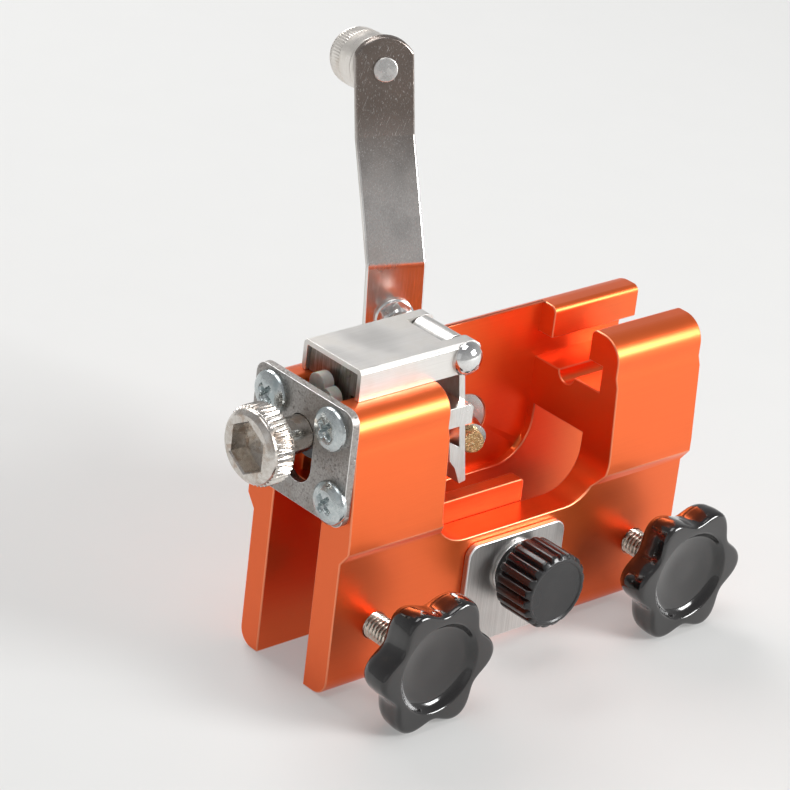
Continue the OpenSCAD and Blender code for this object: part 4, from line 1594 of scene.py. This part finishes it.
@dataclass
class HeightStop:
    """The height stop: inner block, stud, brushed plate, washer and fluted knob."""

    plate_edge: float = 0.3
    block_edge: float = 0.3
    washer_edge: float = 0.12
    # The stud
    stud_r: float = 2.98
    tip_l: float = 0.5
    tip_fall: float = 0.5
    tip_share: float = 0.3
    thread: Thread = Thread(1.0, 0.5, 0.12)
    # The fluted knob: collar, bore, drum and the raised rim of its front
    knob_r: float = 8.75
    knob_l: float = 12.6
    collar_r: float = 6.5
    collar_l: float = 2.0
    bore_r: float = 3.04
    bore_l: float = 11.2
    drum_chamfer: float = 0.7
    chamfer_share: float = 0.8
    drum_fillet: float = 0.5
    front_chamfer_l: float = 0.75
    front_chamfer_w: float = 1.0
    rim_w: float = 0.55
    rim_slope: float = 0.3
    rim_h: float = 0.28
    flutes: int = 20
    flute_steps: int = 12
    flute_depth: float = 0.95
    flute_power: int = 4

    def build(self) -> None:
        """Builds and dresses the pieces."""
        redress("stop_plate", "brushed_stop_plate", self.plate_edge, BRUSHED)
        # The inner block takes the darker copy of the body's orange: painted shade
        redress("stop_block", "inner_stop_block", self.block_edge, ORANGE_SHADED)
        hand_over(self.stud(), THREAD, "stop_stud")
        redress("stop_washer", "knob_washer", self.washer_edge, BRIGHT_ZINC)
        hand_over(self.knob(), SATIN_BLACK, "stop_knob")

    def stud(self) -> Thing:
        """Makes the stud on which the knob runs.

        Returns:
            The piece.
        """
        start = corner("stop_stud", True).y
        length = start - corner("stop_stud", False).y
        thin = self.stud_r - self.tip_fall
        outline = [(0, POLE_R, 0, 0), (0, thin, 0, self.tip_share),
                   (self.tip_l, self.stud_r, 0, 1), (length - self.tip_l, self.stud_r, 0, 1),
                   (length, thin, 0, self.tip_share)]
        return self.thread.cut(front_axis("stop_stud", start), outline).object("stop_thread")

    def fluted(self, height: Grid, radius: Grid, share: Grid, angle: Grid) -> Pair:
        """Cuts the flutes: depth times a high power of half of (1 + cos of flutes times
        angle), so that a groove is narrow and a rib is broad."""
        groove = (0.5 + 0.5 * np.cos(self.flutes * angle)) ** self.flute_power
        return height + 0 * angle, radius - share * self.flute_depth * groove

    def knob(self) -> Thing:
        """Makes the knob: bored collar, fluted drum and flat front with a thin raised rim.

        Returns:
            The piece.
        """
        r, end = self.knob_r, self.knob_l
        drum, face = self.collar_l, end - self.rim_h
        rim = r - self.front_chamfer_w
        rim_in = rim - self.rim_w
        outline = [
            (self.bore_l, POLE_R, 0, 0), (self.bore_l, self.bore_r, 0, 0), (0, self.bore_r, 0, 0),
            (0, self.collar_r, SOFT, 0), (drum, self.collar_r, CRISP, 0),
            (drum, r - self.drum_chamfer, 0, self.chamfer_share),
            (drum + self.drum_chamfer, r, self.drum_fillet, 1),
            (end - self.front_chamfer_l, r, self.drum_fillet, 1), (end, rim, CRISP, 0),
            (end, rim_in, HAIR, 0), (face, rim_in - self.rim_slope, HAIR, 0), (face, POLE_R, 0, 0)]
        axis = front_axis("stop_knob", corner("stop_knob", True).y)
        shell = revolve(axis, rounded(outline), self.flutes * self.flute_steps, self.fluted)
        return shell.object("fluted_knob", DRUM_SHARP)


# Studio


@dataclass(frozen=True)
class Lamp:
    """A soft square lamp that looks at the object's middle."""

    name: str
    place_m: Triple
    side_m: float
    watts: float

    def hang(self, target: Vector) -> None:
        """Adds the lamp to the scene.

        Args:
            target: the point that it looks at, in metres.
        """
        data = bpy.data.lights.new(self.name, "AREA")
        data.shape = "SQUARE"
        data.size = self.side_m
        data.energy = self.watts
        thing = add_object(self.name, data)
        thing.location = self.place_m
        thing.rotation_euler = (target - Vector(self.place_m)).to_track_quat("-Z", "Y").to_euler()


@dataclass
class Studio:
    """Camera, floor, lamps and surroundings.

    Names that end in _m are metres. The floor's pattern is in periods per millimetre.
    """

    camera_place: Triple = (-529.1, -523.5, 408.15)
    azimuth: float = 43.838
    elevation: float = 25.646
    roll: float = -6.944
    lens: float = 174.8
    sensor: float = 36.0
    clip_near_m: float = 0.01
    clip_far_m: float = 20.0
    target_m: Triple = (0.0, 0.0, 0.045)
    floor_side_m: float = 6.0
    floor_drop: float = 0.05
    floor_tone: Tone = (0.78, 0.78, 0.77)
    floor_speckle: float = 0.05
    floor_darker: float = 0.97
    floor_roughness: float = 0.9
    floor_glow: float = 0.36
    sky_low: Tone = (0.48, 0.48, 0.48)
    sky_high: Tone = (0.26, 0.26, 0.27)
    diffuse_sky: float = 0.24
    lamps: tuple[Lamp, ...] = (
        Lamp("key_lamp", (0.55, -0.8, 0.46), 0.42, 11.5),
        Lamp("side_lamp", (-0.85, -0.25, 0.35), 0.6, 0.2),
        Lamp("back_lamp", (0.1, 0.7, 0.75), 0.5, 6.2),
        Lamp("top_lamp", (-0.1, -0.05, 0.95), 0.5, 2.6),
    )

    def place_camera(self) -> None:
        """Places the camera from its azimuth, elevation and roll.

        Forward is (sin a cos e, cos a cos e, -sin e). Right and down are the level ones,
        turned about forward by the roll.
        """
        a, e, roll = (math.radians(v) for v in (self.azimuth, self.elevation, self.roll))
        forward = Vector((math.sin(a) * math.cos(e), math.cos(a) * math.cos(e), -math.sin(e)))
        level = Vector((math.cos(a), -math.sin(a), 0))
        below = forward.cross(level)
        right = math.cos(roll) * level + math.sin(roll) * below
        down = -math.sin(roll) * level + math.cos(roll) * below
        data = bpy.data.cameras.new("camera")
        data.lens = self.lens
        data.sensor_width = self.sensor
        data.clip_start = self.clip_near_m
        data.clip_end = self.clip_far_m
        thing = add_object("camera", data)
        turn = Matrix((right, -down, -forward)).transposed().to_4x4()
        thing.matrix_world = Matrix.Translation(Vector(self.camera_place) * MM) @ turn
        bpy.context.scene.camera = thing

    def lay_floor(self) -> None:
        """Lays the pale floor, which keeps the shadow and shows pale to eye and metal."""
        half = self.floor_side_m / 2
        z = -self.floor_drop * MM
        mesh = bpy.data.meshes.new("pale_floor")
        mesh.from_pydata([(-half, -half, z), (half, -half, z), (half, half, z), (-half, half, z)],
                         [], [(0, 1, 2, 3)])
        floor = add_object("pale_floor", mesh)
        graph = Graph("pale_floor")
        speckle = graph.noise(graph.even_place(self.floor_speckle), detail=2.0)
        darker = tuple(self.floor_darker * v for v in self.floor_tone)
        graph.link(graph.blend(speckle, self.floor_tone, darker), graph.shader.inputs["Base Color"])
        graph.set(Roughness=self.floor_roughness)
        glow = graph.add("ShaderNodeEmission")
        glow.inputs["Color"].default_value = (*self.floor_tone, 1.0)
        mixed = graph.add("ShaderNodeMixShader")
        path = graph.add("ShaderNodeLightPath")
        seen = graph.sum(graph.sum(path.outputs["Is Camera Ray"], path.outputs["Is Glossy Ray"]),
                         path.outputs["Is Transmission Ray"])
        sources = (graph.times(seen, self.floor_glow), graph.shader.outputs["BSDF"],
                   glow.outputs["Emission"])
        for source, target in zip(sources, mixed.inputs):
            graph.link(source, target)
        graph.link(mixed.outputs["Shader"], graph.end.inputs["Surface"])
        mesh.materials.append(graph.material)

    def surround(self) -> None:
        """Makes the surroundings: pale at the horizon, greyer overhead, weaker for diffuse."""
        world = bpy.data.worlds.new("studio")
        world.use_nodes = True
        bpy.context.scene.world = world
        tree = world.node_tree
        tree.nodes.clear()
        end, sky, where, parts, rise, mix, path, strength = (
            tree.nodes.new(f"ShaderNode{kind}") for kind in (
                "OutputWorld", "Background", "TexCoord", "SeparateXYZ", "MapRange", "Mix",
                "LightPath", "MapRange"))
        mix.data_type = "RGBA"
        mix.inputs[MIX_FIRST].default_value = (*self.sky_low, 1.0)
        mix.inputs[MIX_SECOND].default_value = (*self.sky_high, 1.0)
        strength.inputs["To Min"].default_value = 1.0
        strength.inputs["To Max"].default_value = self.diffuse_sky
        for source, target in (
                (where.outputs["Generated"], parts.inputs["Vector"]),
                (parts.outputs["Z"], rise.inputs["Value"]),
                (rise.outputs["Result"], mix.inputs["Factor"]),
                (mix.outputs[MIX_RESULT], sky.inputs["Color"]),
                (path.outputs["Is Diffuse Ray"], strength.inputs["Value"]),
                (strength.outputs["Result"], sky.inputs["Strength"]),
                (sky.outputs["Background"], end.inputs["Surface"])):
            tree.links.new(source, target)

    def build(self) -> None:
        """Builds the studio."""
        self.lay_floor()
        self.surround()
        for lamp in self.lamps:
            lamp.hang(Vector(self.target_m))
        bpy.context.scene.view_settings.view_transform = "Standard"


def main() -> None:
    """Builds the studio and every sub-assembly in order."""
    logging.basicConfig(level=logging.INFO, format="%(name)s: %(message)s")
    studio = Studio()
    studio.place_camera()
    crank = Crank()
    for part in (Housing(), Adjuster(), Carriage(), crank, Grip(crank), Clamp(Side.LEFT),
                 Clamp(Side.RIGHT), HeightStop()):
        part.build()
    studio.build()


if __name__ == "__main__":
    main()
